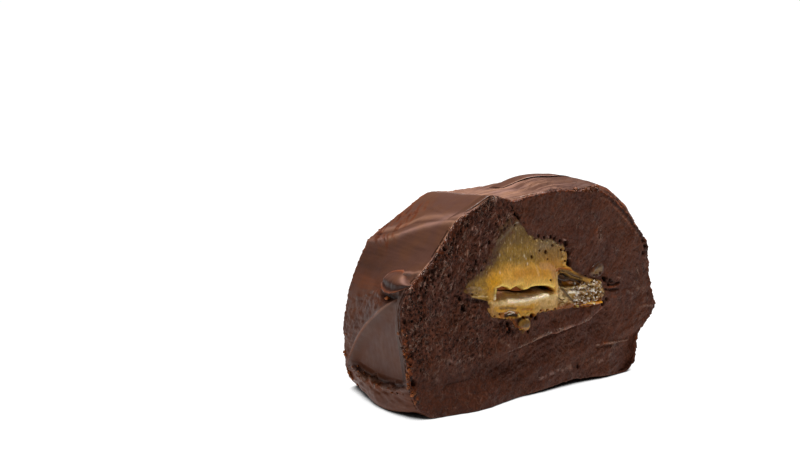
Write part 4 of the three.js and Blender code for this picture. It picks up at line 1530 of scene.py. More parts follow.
@dataclass
class Caramel:
    """The caramel: a golden block over a pulled-open slot, a wet lobe, drips and a streak."""

    columns: int = 560
    face_rings: int = 132
    back_rings: int = 20
    side_rings: int = 5
    roof_depth: float = 1.3
    crack_depth: float = 2.6
    finish: CaramelFinish = CaramelFinish()

    # Lower edge of the block, the crack under it, and the crest of the lip below: x and z
    brow_line = (
        (-12.9, 29.9), (-11.5, 30.0), (-9.6, 29.6), (-8.4, 28.7), (-7.7, 28.9), (-6.1, 29.4), (-4.8, 29.2),
        (-4.0, 27.9), (-2.9, 28.0), (-1.6, 28.4), (0.4, 28.5), (3.0, 28.1), (5.0, 27.3), (6.0, 26.7),
    )
    crack_line = (
        (-12.9, 28.7), (-10.2, 28.4), (-8.3, 28.2), (-5.7, 27.4), (-3.8, 27.1), (-1.2, 27.2), (1.4, 27.3),
        (3.7, 27.1), (5.0, 26.6), (6.0, 26.1),
    )
    lip_line = (
        (-12.9, 26.6), (-8.9, 26.2), (-7.3, 25.8), (-5.4, 25.5), (-3.4, 25.4), (-1.5, 25.5), (0.1, 25.7),
        (1.7, 26.0), (3.7, 26.0), (5.9, 25.5),
    )
    # Bubbles burst on the front cut: x, z, radius and depth in mm
    bubbles = (
        (-1.4, 36.1, 0.5, 0.7), (3.4, 36.7, 0.62, 0.9), (1.1, 37.4, 0.35, 0.5), (3.8, 34.8, 0.35, 0.4),
        (3.8, 29.6, 0.35, 0.4), (8.2, 36.7, 0.5, 0.7), (-1.1, 20.9, 0.75, 1.4), (-4.0, 20.8, 0.5, 0.8),
        (-11.6, 22.9, 0.35, 0.5), (5.4, 38.2, 0.4, 0.6), (-20.3, 29.3, 0.4, 0.4), (-4.4, 44.5, 0.35, 0.5),
        (-6.8, 44.9, 0.35, 0.5), (16.6, 25.0, 0.5, 0.6), (19.6, 23.0, 0.45, 0.6), (21.9, 25.0, 0.45, 0.6),
        (1.5, 21.9, 0.35, 0.5), (3.6, 21.7, 0.4, 0.6), (6.3, 21.6, 0.35, 0.5), (-13.4, 22.7, 0.35, 0.5),
        (6.8, 38.5, 0.4, 0.6), (9.3, 36.3, 0.45, 0.7), (9.4, 33.6, 0.4, 0.6), (1.9, 39.9, 0.3, 0.5),
    )
    # Strokes laid over one another: colour, its share, height, width, and corners as x and z
    # The near-white strokes are painted highlights, and the near-black ones painted shade in grooves and
    # holes
    strokes = (
        ("grey", 0.6, 0.1, 0.7, (-7.7, 45.3), (-9.5, 43.8), (-11.7, 42.2), (-13.2, 41.0)),
        ("amber", 0.4, 0.0, 0.9, (-7.0, 32.6), (-2.0, 32.4), (2.5, 31.4)),
        ("blush", 0.5, 0.2, 0.9, (1.6, 33.4), (3.6, 33.2), (5.2, 32.2), (5.0, 30.6)),
        ("cream", 0.3, 0.0, 0.35, (0.0, 31.4), (-0.1, 33.4)),
        ("glow", 0.7, 0.1, 0.24, (-12.0, 30.5), (-9.8, 29.9), (-8.3, 29.0), (-6.2, 29.7), (-4.2, 28.4),
         (-1.6, 28.8), (3.0, 28.5), (5.4, 27.5)),
        ("grey", 0.5, 0.3, 0.55, (-21.4, 30.4), (-20.0, 30.7), (-18.2, 30.4)),
        ("haze", 0.7, -0.2, 0.3, (-21.6, 29.6), (-18.6, 29.3)),
        ("cream", 0.7, 0.3, 0.2, (-22.3, 28.8), (-20.1, 28.6), (-17.7, 28.4), (-15.6, 28.0)),
        ("glow", 0.85, 0.7, 0.4, (-11.8, 30.6), (-12.9, 29.7), (-13.2, 28.6), (-13.5, 27.3)),
        ("white_highlight", 0.7, 0.2, 0.26, (-13.3, 28.0), (-13.6, 27.0)),
        ("tan", 0.8, 0.1, 0.8, (-14.8, 25.4), (-14.6, 23.8), (-12.6, 22.8)),
        ("haze", 0.7, -0.2, 0.35, (-11.8, 24.5), (-9.6, 24.3), (-6.6, 23.6)),
        ("haze", 0.6, -0.2, 0.3, (-12.0, 23.1), (-10.6, 23.0)),
        ("rust", 0.5, 0.1, 0.35, (-4.6, 23.1), (-1.6, 22.7)),
        ("cream", 0.9, 0.5, 1.0, (-11.2, 26.3), (-7.6, 26.0), (-3.8, 25.8), (-0.4, 25.9), (2.6, 26.0)),
        ("white_highlight", 0.65, 0.6, 0.6, (-9.4, 26.2), (-7.3, 25.9), (-4.0, 25.7), (-1.2, 25.8), (1.6, 26.2),
         (2.8, 26.2)),
        ("rust", 0.8, -0.2, 0.7, (-11.0, 22.4), (-9.6, 22.5), (-7.9, 22.4), (-5.8, 21.9)),
        ("deep", 0.9, -0.3, 0.5, (-9.6, 22.1), (-7.9, 22.2), (-6.0, 21.6)),
        ("white_highlight", 0.9, 0.4, 0.16, (-9.9, 22.9), (-8.6, 23.2), (-7.6, 22.9), (-6.8, 22.4)),
        ("white_highlight", 0.8, 0.3, 0.14, (-8.6, 22.3), (-7.4, 22.4)),
        ("glow", 0.8, 0.3, 0.16, (-5.6, 22.0), (-5.0, 21.2)),
        ("glow", 0.8, 0.3, 0.16, (-3.2, 21.3), (-2.4, 21.9)),
        ("rust", 0.8, 0.2, 0.18, (-7.7, 20.8), (-7.6, 18.9)),
        ("cream", 0.6, 0.2, 0.2, (-3.6, 20.5), (-2.6, 20.3)),
        ("cream", 0.5, 0.3, 0.5, (6.5, 31.2), (6.7, 29.0), (6.8, 26.9), (6.4, 25.2)),
        ("rust", 0.9, -0.5, 0.15, (5.8, 31.4), (5.9, 29.9), (5.8, 28.1), (5.6, 27.4)),
        ("brown", 0.95, -1.2, 1.0, (8.4, 29.0), (9.9, 28.2), (11.4, 28.0)),
        ("amber", 0.95, -0.3, 0.5, (10.4, 27.2), (13.0, 27.0), (15.6, 26.6)),
        ("brown", 0.9, -0.5, 0.42, (12.6, 28.0), (14.4, 27.6), (16.4, 26.8)),
        ("fudge", 1.0, 0.2, 0.9, (12.2, 31.4), (14.2, 30.3), (16.4, 29.1), (19.0, 28.2), (22.0, 27.4)),
        ("rust", 0.9, 0.7, 0.3, (5.8, 31.6), (7.2, 31.8), (8.8, 31.8), (11.2, 31.0)),
        ("olive", 0.65, 0.6, 0.24, (6.9, 30.7), (8.5, 30.9), (10.2, 30.3), (11.9, 29.3), (13.3, 28.5),
         (15.7, 27.6)),
        ("haze", 0.8, 0.0, 0.3, (8.9, 31.4), (11.0, 30.6), (12.9, 29.4)),
        ("deep", 1.0, -0.8, 0.22, (7.6, 29.9), (8.6, 30.2), (9.9, 29.8), (11.6, 28.8)),
        ("cream", 0.75, 0.6, 0.25, (7.6, 27.3), (9.6, 26.5), (12.3, 26.2), (15.4, 26.0), (18.6, 26.3)),
        ("brown", 0.7, -0.5, 0.22, (11.4, 25.9), (14.2, 25.6), (16.6, 25.4)),
        ("grey", 0.9, 0.4, 0.25, (10.4, 26.2), (10.6, 26.2)),
        ("white_highlight", 1.0, 0.5, 0.45, (10.9, 25.2), (12.3, 25.3), (13.8, 24.8)),
        ("cream", 0.8, 0.2, 0.6, (8.0, 25.4), (8.6, 24.2), (10.0, 23.2)),
        ("haze", 1.0, 0.6, 0.3, (8.0, 26.6), (9.0, 25.6), (10.2, 24.3), (11.4, 23.2), (12.8, 22.0)),
        ("deep", 0.8, -0.3, 0.14, (8.5, 26.8), (9.6, 25.7), (10.8, 24.4), (12.0, 23.2), (13.2, 22.2)),
        ("deep", 0.7, -0.3, 0.12, (7.4, 24.3), (8.4, 23.6), (9.4, 23.6)),
        ("orange", 1.0, 0.7, 0.36, (15.6, 21.3), (17.5, 21.6), (18.9, 21.3), (21.2, 21.2)),
        ("glow", 0.9, 0.3, 0.16, (17.0, 21.6), (19.2, 21.3)),
        ("glow", 1.0, 0.6, 0.26, (14.0, 21.2), (14.2, 20.7)),
    )
    # Small upright glints of the smear: x, z and share
    glints = (
        (-4.0, 36.7, 0.8), (-3.1, 34.6, 0.7), (-8.4, 36.4, 0.4), (-11.6, 37.9, 0.5), (-14.9, 36.0, 0.5),
        (-8.5, 40.6, 0.3), (-6.0, 45.4, 1.0), (-6.5, 45.6, 0.9), (-3.4, 36.0, 0.4), (-11.9, 33.6, 0.5),
    )
    # Beads of caramel that stand out along its right edge, between the holes: x, z and radius in mm
    beads = (
        (-2.2, 41.2, 0.6), (-0.4, 40.2, 0.5), (3.3, 39.0, 0.55), (5.4, 38.9, 0.4), (6.6, 38.0, 0.5),
        (8.6, 35.9, 0.5), (8.6, 34.2, 0.55), (8.9, 33.0, 0.6), (1.4, 39.6, 0.4), (7.7, 37.4, 0.4),
    )
    # Places that are wet enough to mirror the lamp: width, and corners as x and z
    wet_lines = (
        (0.6, (-10.2, 26.2), (-4.4, 25.7), (-1.5, 25.8), (1.7, 26.2), (3.0, 26.2)),
        (0.4, (-10.1, 23.3), (-8.5, 23.4), (-6.6, 23.0)),
        (0.5, (-12.0, 30.6), (-13.4, 28.6), (-13.6, 27.0)), (0.6, (15.6, 21.4), (18.9, 21.4), (21.2, 21.2)),
        (0.5, (6.9, 30.9), (8.8, 31.2), (12.2, 29.4), (15.0, 27.9)), (0.6, (10.8, 25.3), (14.0, 25.0)),
        (1.0, (9.0, 28.4), (13.0, 27.3), (16.0, 26.8)),
    )

    def __post_init__(self) -> None:
        """Settle the shared form at this piece's fineness."""
        self.form = SliceForm(self.columns)

    def slot(self, x: Array, z: Array) -> dict:
        """The slot: a lit roof under the block, a crack painted dark as shade, and a floor that rises to the
        lip.

        Args:
            x: Places along the width.
            z: Heights.

        Returns:
            Distances above brow, crack and lip, the slot's hollow, its roof, crack and floor.
        """
        grain = Grain(95)
        wander = 0.1 * grain.waves(x / 1.3, 0.5, 0.5)
        over_brow = z - follow(self.brow_line, x) - wander
        over_crack = z - follow(self.crack_line, x) - wander
        over_lip = z - follow(self.lip_line, x) - 0.1 * grain.waves(x / 1.7, 3.5, 0.5)
        ends = plateau(x, -12.9, -12.5, 5.2, 6.0)
        hollow = smooth(-over_brow, 0.0, 0.25) * smooth(over_lip, -0.1, 1.6) * ends
        wide = 0.14 + 0.5 * plateau(x, -5.0, 0.5, 3.6, 5.8)
        crack = np.exp(-((over_crack / wide) ** 4)) * ends
        return {
            "over_brow": over_brow, "over_lip": over_lip, "hollow": hollow, "crack": crack,
            "roof": smooth(-over_brow, 0.0, 0.2) * smooth(over_crack, -0.1, 0.1) * ends,
            "floor": smooth(-over_crack, -0.1, 0.15) * smooth(over_lip, -0.1, 0.6) * ends,
        }

    def forms(self, x: Array, z: Array, slot: dict) -> dict:
        """Which part of the caramel a point belongs to: block, lower body, pool, and so on.

        Args:
            x: Places along the width.
            z: Heights.
            slot: The slot's values.

        Returns:
            The share or height of each part, 0 to 1.
        """
        grain = Grain(91)
        edge = 5.9 + 0.2 * grain.waves(z / 1.2, 7.5, 0.5)
        block = fall(x - edge, -0.25, 0.2) * smooth(x, -15, -12) * smooth(slot["over_brow"], -0.2, 0.3)
        lower = smooth(-slot["over_lip"], -0.5, 0.4) * fall(x, 5.5, 8.0) * smooth(x, -15.8, -14.6)
        pool = plateau(x, 7.2, 8.0, 14.5, 18) * smooth(z + 0.1 * (x - 8), 26.4, 27.2)
        pool = pool * fall(z + 0.36 * x, 34.0, 35.0)
        right = smooth(x, 6.4, 7.6) * fall(z, 26.2, 27.4)
        knobby = smooth(x + 0.8 * grain.waves(x, z, 2.5), 12.6, 14.0) * fall(z, 26.2, 27.2)
        return {
            "block": block * fall(z, 31, 37), "lower": lower * smooth(z, 20.8, 22.4),
            "pool": pool, "right": right, "knobby": knobby * smooth(z, 20.4, 21.4),
            "bead": dome(x, z, (-4.0, 18.9), (2.1, 2.0)), "knobs": grain.layers(x / 0.9, z / 0.8, 0.5, 3),
            "lobe": dome(x, z, (-20.6, 29.9), (2.2, 1.2)) + dome(x, z, (-17.4, 29.6), (2.0, 1.2)),
        }

    def height(self, x: Array, z: Array, slot: dict, part: dict) -> Array:
        """How far the caramel stands forward on the front cut, in mm."""
        grain, over = Grain(91), slot["over_brow"]
        bulge = part["block"] * (0.4 + 0.7 * smooth(over, 0, 1.2) - 0.6 * smooth(over, 1.2, 6))
        height = bulge + 0.8 * part["lower"] * (1 - 0.5 * smooth(-slot["over_lip"], 1.0, 3.4))
        height = height + 1.5 * part["bead"] + 0.7 * part["lobe"] - 0.9 * part["pool"]
        height = height + 0.7 * part["knobby"] * part["knobs"] + 0.25 * part["right"] * part["knobs"]
        ragged = smooth(z, 33, 37) + smooth(-x, 14, 17)
        soft = 0.12 * grain.layers(x / 2.6, z / 4.2, 0.5, 3)
        soft = soft + (0.05 + 0.06 * ragged) * grain.layers(x / 0.7, z / 1.4, 0.5, 2)
        return height + soft - self.roof_depth * slot["hollow"] - self.crack_depth * slot["crack"]

    def base(self, x: Array, z: Array, border: Array, slot: dict, part: dict) -> list:
        """Lay the caramel's broad colours on the front cut.

        Gold over the slot turns olive, then brown and grey, with height; the left end is olive with a yellow
        heart, the lower body cream over olive gold, and the right end mottled. The block's lower edge is
        painted with a glow, the crack, the slot's floor near it and the ring round the bead are painted dark
        as shade, and the bead is painted dark above and yellow below as light falls through it.
        with a yellow heart, the lower body cream over olive gold, and the right end mottled.

        Args:
            x: Places along the width.
            z: Heights.
            border: Distance from the core's outline.
            slot: The slot's values.
            part: The parts' values.

        Returns:
            Pairs of a colour's name and its share, in the order they are laid.
        """
        grain = Grain(103)
        wander = z + 0.9 * grain.layers(x / 2.6, z / 3.4, 0.5, 3)
        sides = x + 0.6 * grain.layers(x / 1.8, z / 1.8, 3.5, 2)
        left = fall(sides, -16.6, -13.6)
        body = part["lower"]
        low = smooth(0.4 * part["knobs"] - slot["over_lip"], 0.9, 1.9)
        mottle = smooth(part["knobs"], -0.1, 0.35)
        corner = smooth(x, -1.5, 2.0) * smooth(z, 32.6, 35.5)
        fading = fall(x, -11, -5) * smooth(z, 28, 31)
        patch = bell(x, 5.4, 2.0) * bell(z, 33.0, 2.2)
        right, knobby, bead, floor = part["right"], part["knobby"], part["bead"], slot["floor"]
        over_lip = slot["over_lip"]
        return [
            ("glow", 0.35 * part["block"] * fall(slot["over_brow"], 0.4, 2.6)),
            ("olive", smooth(wander, 33.4, 36.0)),
            ("haze", 0.75 * fading * fall(border, 0.8, 4.2)),
            ("brown", 0.8 * fading * fall(border, 0.2, 2.8)),
            ("haze", 0.8 * smooth(wander, 38.2, 42.0)), ("tan", 0.75 * corner),
            ("haze", 0.6 * corner * smooth(z, 35, 39)),
            ("grey", 0.4 * smooth(wander, 42.5, 45.0) + 0.5 * corner * smooth(wander, 36.5, 38.5)),
            ("rust", 0.4 * patch), ("brown", 0.2 * patch),
            ("olive", 0.85 * left), ("haze", 0.7 * left * smooth(z, 31.5, 34)),
            ("yellow", 0.9 * bell(sides, -13.6, 2.0) * bell(z, 30.8, 2.6)),
            ("tan", 0.75 * body), ("cream", 0.6 * body * (1 - low)),
            ("yellow", 0.7 * body * low * fall(x, -2, 3)),
            ("cream", 0.4 * body * smooth(x, -2, 2)), ("olive", 0.5 * body * low * mottle),
            # On the right end the knobs' tops are painted cream and the low places between them brown:
            # painted light and shade
            ("tan", 0.8 * right), ("haze", 0.45 * right * fall(x, 9, 13)), ("cream", 0.6 * right * mottle),
            ("brown", 0.45 * knobby * (1 - mottle)), ("rust", 0.9 * right * fall(z, 21.6, 22.8)),
            ("brown", 0.85 * part["pool"]),
            # The bead is painted dark above and yellow below: painted light falling through it
            ("haze", bead * smooth(z, 17.9, 18.9)), ("yellow", 0.8 * bead * fall(z, 17.7, 18.7)),
            ("brown", 0.35 * bead),
            ("fudge", fall(z, 20.6, 21.4) * fall(bead, 0.1, 0.4) * fall(x, -1.6, -0.4)),
            # A near-black ring round the bead: painted shade at its edge
            ("deep", plateau(bead, 0.02, 0.2, 0.3, 0.55)),
            ("rust", slot["roof"]), ("blush", floor * fall(x, -10.2, -8.6)),
            # The slot's floor is painted brown towards the crack and cream towards the lip: painted shade
            # under the block
            ("brown", 0.85 * floor * plateau(x, -10.2, -8.6, -0.5, 2.0) * smooth(over_lip, 0.7, 1.7)),
            ("cream", 0.7 * floor * smooth(x, -10.6, -8.8) * fall(over_lip, 0.3, 1.6)),
            # The crack is painted near-black: painted shade
            ("deep", slot["crack"]),
        ]

    def relief(self, x: Array, z: Array, border: Array) -> tuple[Array, list, dict]:
        """The front cut's relief with its strokes, beads and bubbles, and its colours and marks.

        Args:
            x: Places along the width.
            z: Heights.
            border: Distance from the core's outline.

        Returns:
            The height in mm, pairs of a colour and its share, and shares of specks and wetness.
        """
        slot = self.slot(x, z)
        part = self.forms(x, z, slot)
        height, layers = self.height(x, z, slot, part), self.base(x, z, border, slot, part)
        warp = 0.18 * Grain(131).layers(x / 1.3, z / 1.3, 0.5, 2)
        ragged = 0.9 * smooth(Grain(133).layers(x / 0.9, z / 0.9, 0.5, 2), -0.5, 0.2) + 0.1
        layers.append(("rust", 0.9 * bell(border, 0.3, 0.6) * fall(z, 23, 26) * ragged))
        for name, share, rise, width, *line in self.strokes:
            stroke = along_line(x + warp, z - warp, line, width)
            height = height + rise * stroke
            layers.append((name, share * smooth(stroke, 0.12, 0.75)))
        for bead_x, bead_z, radius in self.beads:
            bump = dome(x, z, (bead_x, bead_z), (radius, radius))
            height = height + 0.5 * bump
            # Each bead's upper half is painted cream: a painted highlight
            layers.append(("cream", 0.6 * bump * smooth(z - bead_z, -0.5 * radius, 0.7 * radius)))
        for bubble_x, bubble_z, radius, deep in self.bubbles:
            well = fall(np.hypot(x - bubble_x, z - bubble_z) / radius, 0.45, 1.1)
            height = height - deep * well
            # Each bubble's middle is painted near-black: painted shade in the well
            layers += [("rust", well), ("deep", 0.9 * smooth(well, 0.3, 0.9))]
        sparkle = sum(share * bell(x, at_x, 0.16) * bell(z, at_z, 0.34) for at_x, at_z, share in self.glints)
        shown = seep(x, z, border)
        layers += [("white_highlight", sparkle), ("fudge", 1 - shown)]
        upper = smooth(z, 32.5, 35.5) + 0.8 * fall(x, -16, -13)
        lines = (along_line(x, z, line, width) for width, *line in self.wet_lines)
        wet = 0.7 * sum(lines) + 0.4 * part["bead"] + 0.5 * part["knobby"] + 0.3 * part["right"]
        return height, layers, {"speck": (0.12 + 0.8 * upper) * shown - slot["hollow"], "wet": wet}

    def bar_ring(self, share: float) -> Array:
        """A ring round the bar, at a share of the depth, grown a little into the fudge."""
        ring = self.form.core_point(share, self.form.radius + 0.15)
        return np.stack([ring[:, 0], np.full(self.columns, DEPTH * share), ring[:, 1]], axis=-1)

    def build(self) -> tuple[bpy.types.Object, Surface]:
        """Make the core as a bar with the relief on its front cut, closed at both ends.

        Returns:
            The core piece, and its front cut for salt.
        """
        form = self.form
        spread = np.linspace(0, 1, self.face_rings + 1)[1:] ** 0.85
        face = np.stack([form.core_point(0.0, form.radius * share) for share in spread])
        border = (1 - spread)[:, None] * form.radius[None]
        height, layers, marks = self.relief(face[..., 0], face[..., 1], border)
        d = -form.front_relief(face[..., 0], face[..., 1]) - height * smooth(border, 0.0, 0.5)
        front = np.stack([face[..., 0], d, face[..., 1]], axis=-1)
        shares = np.linspace(0.02, 1, self.side_rings + 2)[:-1]
        side = np.stack([self.bar_ring(share) for share in shares])
        back_spread = np.linspace(1, 0, self.back_rings + 1)[:-1]
        back_face = np.stack([form.core_point(1.0, form.radius * share) for share in back_spread])
        x, z = back_face[..., 0], back_face[..., 1]
        swell = 0.5 + 0.25 * Grain(97).layers(x / 3, z / 4, 0, 3)
        back_d = DEPTH + form.back_relief(x, z) + swell * (1 - back_spread[:, None] ** 8)
        rest = np.concatenate([side, np.stack([x, back_d, z], axis=-1)])
        rear = Grain(107).layers(rest[..., 0] / 5, rest[..., 2] / 5, 0.5, 3)
        edge = np.zeros(rest.shape[:2])
        edge[-self.back_rings:] = bell(back_spread[:, None], 1.0, 0.06)
        rest_layers = [("olive", smooth(rear, -0.4, 0.5)), ("haze", 0.8 * smooth(rest[..., 2], 28, 36)),
                       ("fudge", 0.8 * edge)]
        paint = np.concatenate([self.finish.paint(layers), self.finish.paint(rest_layers)])
        pad = np.zeros(rest.shape[:2])
        points, faces = capped(np.concatenate([front, rest]))
        values = {name: capped_values(np.concatenate([shares, pad])) for name, shares in marks.items()}
        piece = make_piece("caramel_bar", points, faces, capped_values(paint), values)
        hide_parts("caramel_core")
        return piece, Surface(front, outward(front, False), border)

    def build_streak(self) -> bpy.types.Object:
        """Make the small streak: a low uneven blister on the front cut, rooted under it.

        Returns:
            The streak piece.
        """
        outline = even_columns(softened(STREAK_OUTLINE, 0.05, 0.3), 96)
        reach = outline - np.array(STREAK_CENTRE)
        spread = np.concatenate([np.linspace(0.06, 1.0, 18), [1.0, 0.7]])
        flat = np.array(STREAK_CENTRE) + spread[:, None, None] * reach[None]
        x, z = flat[..., 0], flat[..., 1]
        holes = np.zeros(x.shape)
        for hole_x, hole_z, radius in ((21.2, 28.9, 0.5), (20.0, 28.4, 0.5), (19.2, 28.6, 0.3)):
            holes = np.maximum(holes, fall(np.hypot(x - hole_x, z - hole_z) / radius, 0.5, 1.1))
        height = 0.3 + 0.15 * Grain(113).waves(x / 1.1, z / 0.9, 0.5) - 0.5 * holes
        height = height * (1 - spread[:, None] ** 4)
        sunk = np.concatenate([np.zeros(17), [0.3, 1.2, 2.2]])[:, None]
        d = sunk - self.form.front_relief(x, z) - height
        layers = [
            ("haze", np.ones(x.shape)), ("brown", np.full(x.shape, 0.45)),
            ("tan", 0.3 * smooth(z, 28.2, 29.4)), ("blush", 0.3 * fall(x, 17.8, 19.0)),
            ("brown", smooth(z - 0.3 * (x - 20), 29.8, 30.5)),
            # The holes are painted near-black: painted shade
            ("rust", 0.8 * bell(np.hypot(x - 18.6, z - 30.2), 0, 0.5)), ("deep", holes),
            ("fudge", smooth(spread, 0.4, 0.95)[:, None] + np.zeros(x.shape)),
        ]
        points, faces = capped(np.stack([x, d, z], axis=-1))
        marks = {"speck": np.full(x.shape, 0.1), "wet": np.full(x.shape, 0.35)}
        piece = make_piece("caramel_small_streak", points, faces, capped_values(self.finish.paint(layers)),
                           {name: capped_values(values) for name, values in marks.items()})
        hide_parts("caramel_streak")
        return piece


@dataclass
class Strewn:
    """Small grains strewn on surfaces and joined into one piece."""

    seed: int
    shape: GrainShape
    centres: list = field(default_factory=list)
    sizes: list = field(default_factory=list)
    paints: list = field(default_factory=list)

    def __post_init__(self) -> None:
        """Start the seeded draw."""
        self.rng = np.random.default_rng(self.seed)

    def ball(self) -> tuple[Array, Array]:
        """A ball of 42 points and 80 faces: an icosahedron with each edge split in two."""
        gold = (1 + math.sqrt(5)) / 2
        signs = np.array([(a, b) for a in (-1, 1) for b in (-gold, gold)])
        nought = np.zeros((4, 1))
        points = np.concatenate([np.hstack([nought, signs]), np.hstack([signs, nought]),
                                 np.hstack([signs[:, 1:], nought, signs[:, :1]])])
        points /= np.linalg.norm(points[0])
        gaps = np.linalg.norm(points[:, None] - points[None], axis=-1)
        near = (gaps > 0) & (gaps < 1.2)
        corners = [(a, b, c) for a in range(12) for b in range(a + 1, 12) for c in range(b + 1, 12)
                   if near[a, b] and near[b, c] and near[a, c]]
        middles, faces = {}, []
        for a, b, c in corners:
            if np.dot(np.cross(points[b] - points[a], points[c] - points[a]), points[a]) < 0:
                b, c = c, b
            edges = [tuple(sorted(pair)) for pair in ((a, b), (b, c), (c, a))]
            ab, bc, ca = (middles.setdefault(edge, 12 + len(middles)) for edge in edges)
            faces += [(a, ab, ca), (b, bc, ab), (c, ca, bc), (ab, bc, ca)]
        halves = np.array([(points[a] + points[b]) / 2 for a, b in middles])
        halves /= np.linalg.norm(halves, axis=1, keepdims=True)
        return np.concatenate([points, halves]), np.array(faces)

    def cube(self) -> tuple[Array, Array]:
        """A cube's 8 corners and 6 faces, as wide as the ball."""
        points = np.array(list(np.ndindex(2, 2, 2))) * 1.3 - 0.65
        faces = np.array([(0, 1, 3, 2), (4, 6, 7, 5), (0, 4, 5, 1), (2, 3, 7, 6), (0, 2, 6, 4), (1, 5, 7, 3)])
        return points, faces

    def strew(self, surface: Surface, weight: Array, count: int, size: tuple,
              paint: Array, sink: float = 0.2) -> None:
        """Draw places on a surface and put a grain on each.

        Args:
            surface: The surface to strew on.
            weight: How likely each of its points is.
            count: How many grains.
            size: Smallest and largest radius in mm.
            paint: Linear colours to draw from, one row each.
            sink: How deep a grain sits, as a share of its radius.
        """
        chance = weight.ravel() / weight.sum()
        chosen = self.rng.choice(chance.size, count, p=chance)
        radius = size[0] + (size[1] - size[0]) * self.rng.random(count) ** 2
        places = surface.points.reshape(-1, 3)[chosen]
        lift = surface.normals.reshape(-1, 3)[chosen] * (radius * (0.6 - sink))[:, None]
        lifted = places + lift
        lifted[:, 2] = np.maximum(lifted[:, 2], 0.7 * radius)
        self.centres.append(lifted)
        self.sizes.append(radius)
        self.paints.append(paint[self.rng.integers(0, len(paint), count)])

    def lay(self, centres: Array, radius: Array, paint: Array) -> None:
        """Put single grains at given places, with given radii, in a colour each."""
        self.centres.append(centres)
        self.sizes.append(radius)
        self.paints.append(paint)

    def build(self, name: str, jitter: float, flat: bool) -> bpy.types.Object:
        """Join the grains: each is stretched, turned and roughened by its own draws.

        Args:
            name: The piece's name.
            jitter: How rough a grain is, as a share of its radius.
            flat: Whether its faces are flat.

        Returns:
            The joined grains.
        """
        shape, faces = self.ball() if self.shape is GrainShape.BALL else self.cube()
        centres, sizes = np.concatenate(self.centres), np.concatenate(self.sizes)
        count = len(centres)
        stretch = self.rng.uniform(0.65, 1.2, (count, 1, 3))
        turns = np.linalg.qr(self.rng.normal(size=(count, 3, 3)))[0]
        turns *= np.sign(np.linalg.det(turns))[:, None, None]
        bumps = 1 + jitter * self.rng.normal(size=(count, len(shape), 1)).clip(-1.5, 1.5)
        turned = np.einsum("nij,nkj->nki", turns, shape[None] * stretch * bumps)
        points = centres[:, None] + turned * sizes[:, None, None]
        points[..., 2] = np.maximum(points[..., 2], 0.0)
        numbers = faces[None] + (np.arange(count) * len(shape))[:, None, None]
        paint = np.repeat(np.concatenate(self.paints), len(shape), axis=0)
        return make_piece(name, points, [numbers.reshape(-1, faces.shape[1])], paint, {}, flat)


@dataclass
class Crumbs:
    """Crumbs along the rim, on the lip, at the right side and round the foot."""

    front: Surface
    skin: Surface
    finish: CrumbFinish = CrumbFinish()

    # Single crumbs on the left side: depth, z, radius in mm, and how thin they are
    left_crumbs = (
        (9.6, 28.9, 0.6, 0.9), (31.2, 9.8, 0.55, 0.6), (31.0, 9.0, 0.4, 0.8), (30.6, 5.4, 0.5, 0.5),
        (30.2, 4.6, 0.55, 0.8), (29.6, 3.7, 0.5, 0.4), (29.0, 3.0, 0.4, 0.9), (27.6, 1.7, 0.45, 0.7),
        (27.2, 1.2, 0.35, 0.5), (29.9, 14.8, 0.3, 0.6),
    )

    def colours(self, thin: float) -> Array:
        """Sixteen crumb colours, from dark to the given share of thin."""
        return coats(self.finish.dark, ((self.finish.thin, np.linspace(0, thin, 16)),))

    def build(self) -> bpy.types.Object:
        """Strew the crumbs.

        Returns:
            The crumbs.
        """
        grains = Strewn(seed=7, shape=GrainShape.BALL)
        x, z = self.front.points[..., 0], self.front.points[..., 2]
        rim = bell(self.front.to_rim, 0.2, 0.45)
        left = fall(x, -34, -30) * plateau(z, 3, 5, 18, 24)
        crown = smooth(z, 32, 36) * fall(x, -22, -16)
        right = smooth(x, 26, 32) * smooth(z, 1, 4)
        top = smooth(z, 46, 49) * smooth(x, -12, -6)
        torn = bell(x, 17, 3.2) * bell(z, 51, 1.6) * bell(self.front.to_rim, 0.6, 1.4)
        grains.strew(self.front, rim * left, 44, (0.2, 0.55), self.colours(1.0), 0.6)
        grains.strew(self.front, rim * crown, 16, (0.12, 0.26), self.colours(0.7), 0.5)
        grains.strew(self.front, rim * right, 22, (0.15, 0.4), self.colours(0.5), 0.6)
        grains.strew(self.front, rim * top, 18, (0.12, 0.3), self.colours(0.4), 0.5)
        grains.strew(self.front, torn, 12, (0.4, 0.9), self.colours(0.4), 0.5)
        x, d, z = np.moveaxis(self.skin.points, -1, 0)
        lip = bell(z, 6.0, 0.8) * fall(x, -36, -32) * smooth(d, 0, 3)
        side = smooth(x, 33, 36) * smooth(z, 1, 4)
        rear = bell(self.skin.to_rim, 0.4, 0.6) * smooth(z, 1, 4) * smooth(x, -34, -28) * fall(z, 40, 44)
        grains.strew(self.skin, lip, 22, (0.15, 0.42), self.colours(0.7), 0.5)
        grains.strew(self.skin, side, 40, (0.2, 0.45), self.colours(0.5), 0.5)
        grains.strew(self.skin, rear, 40, (0.15, 0.35), self.colours(0.6), 0.6)
        places = np.array(self.left_crumbs)
        places_x = SliceForm(COARSE_COLUMNS).section(Side.LEFT, places[:, 0], places[:, 1])
        centres = np.stack([places_x - 0.3 * places[:, 2], places[:, 0], places[:, 1]], axis=1)
        grains.lay(centres, places[:, 2], self.colours(1.0)[(16 * places[:, 3]).astype(int)])
        piece = grains.build("fudge_crumbs", jitter=0.18, flat=False)
        return piece


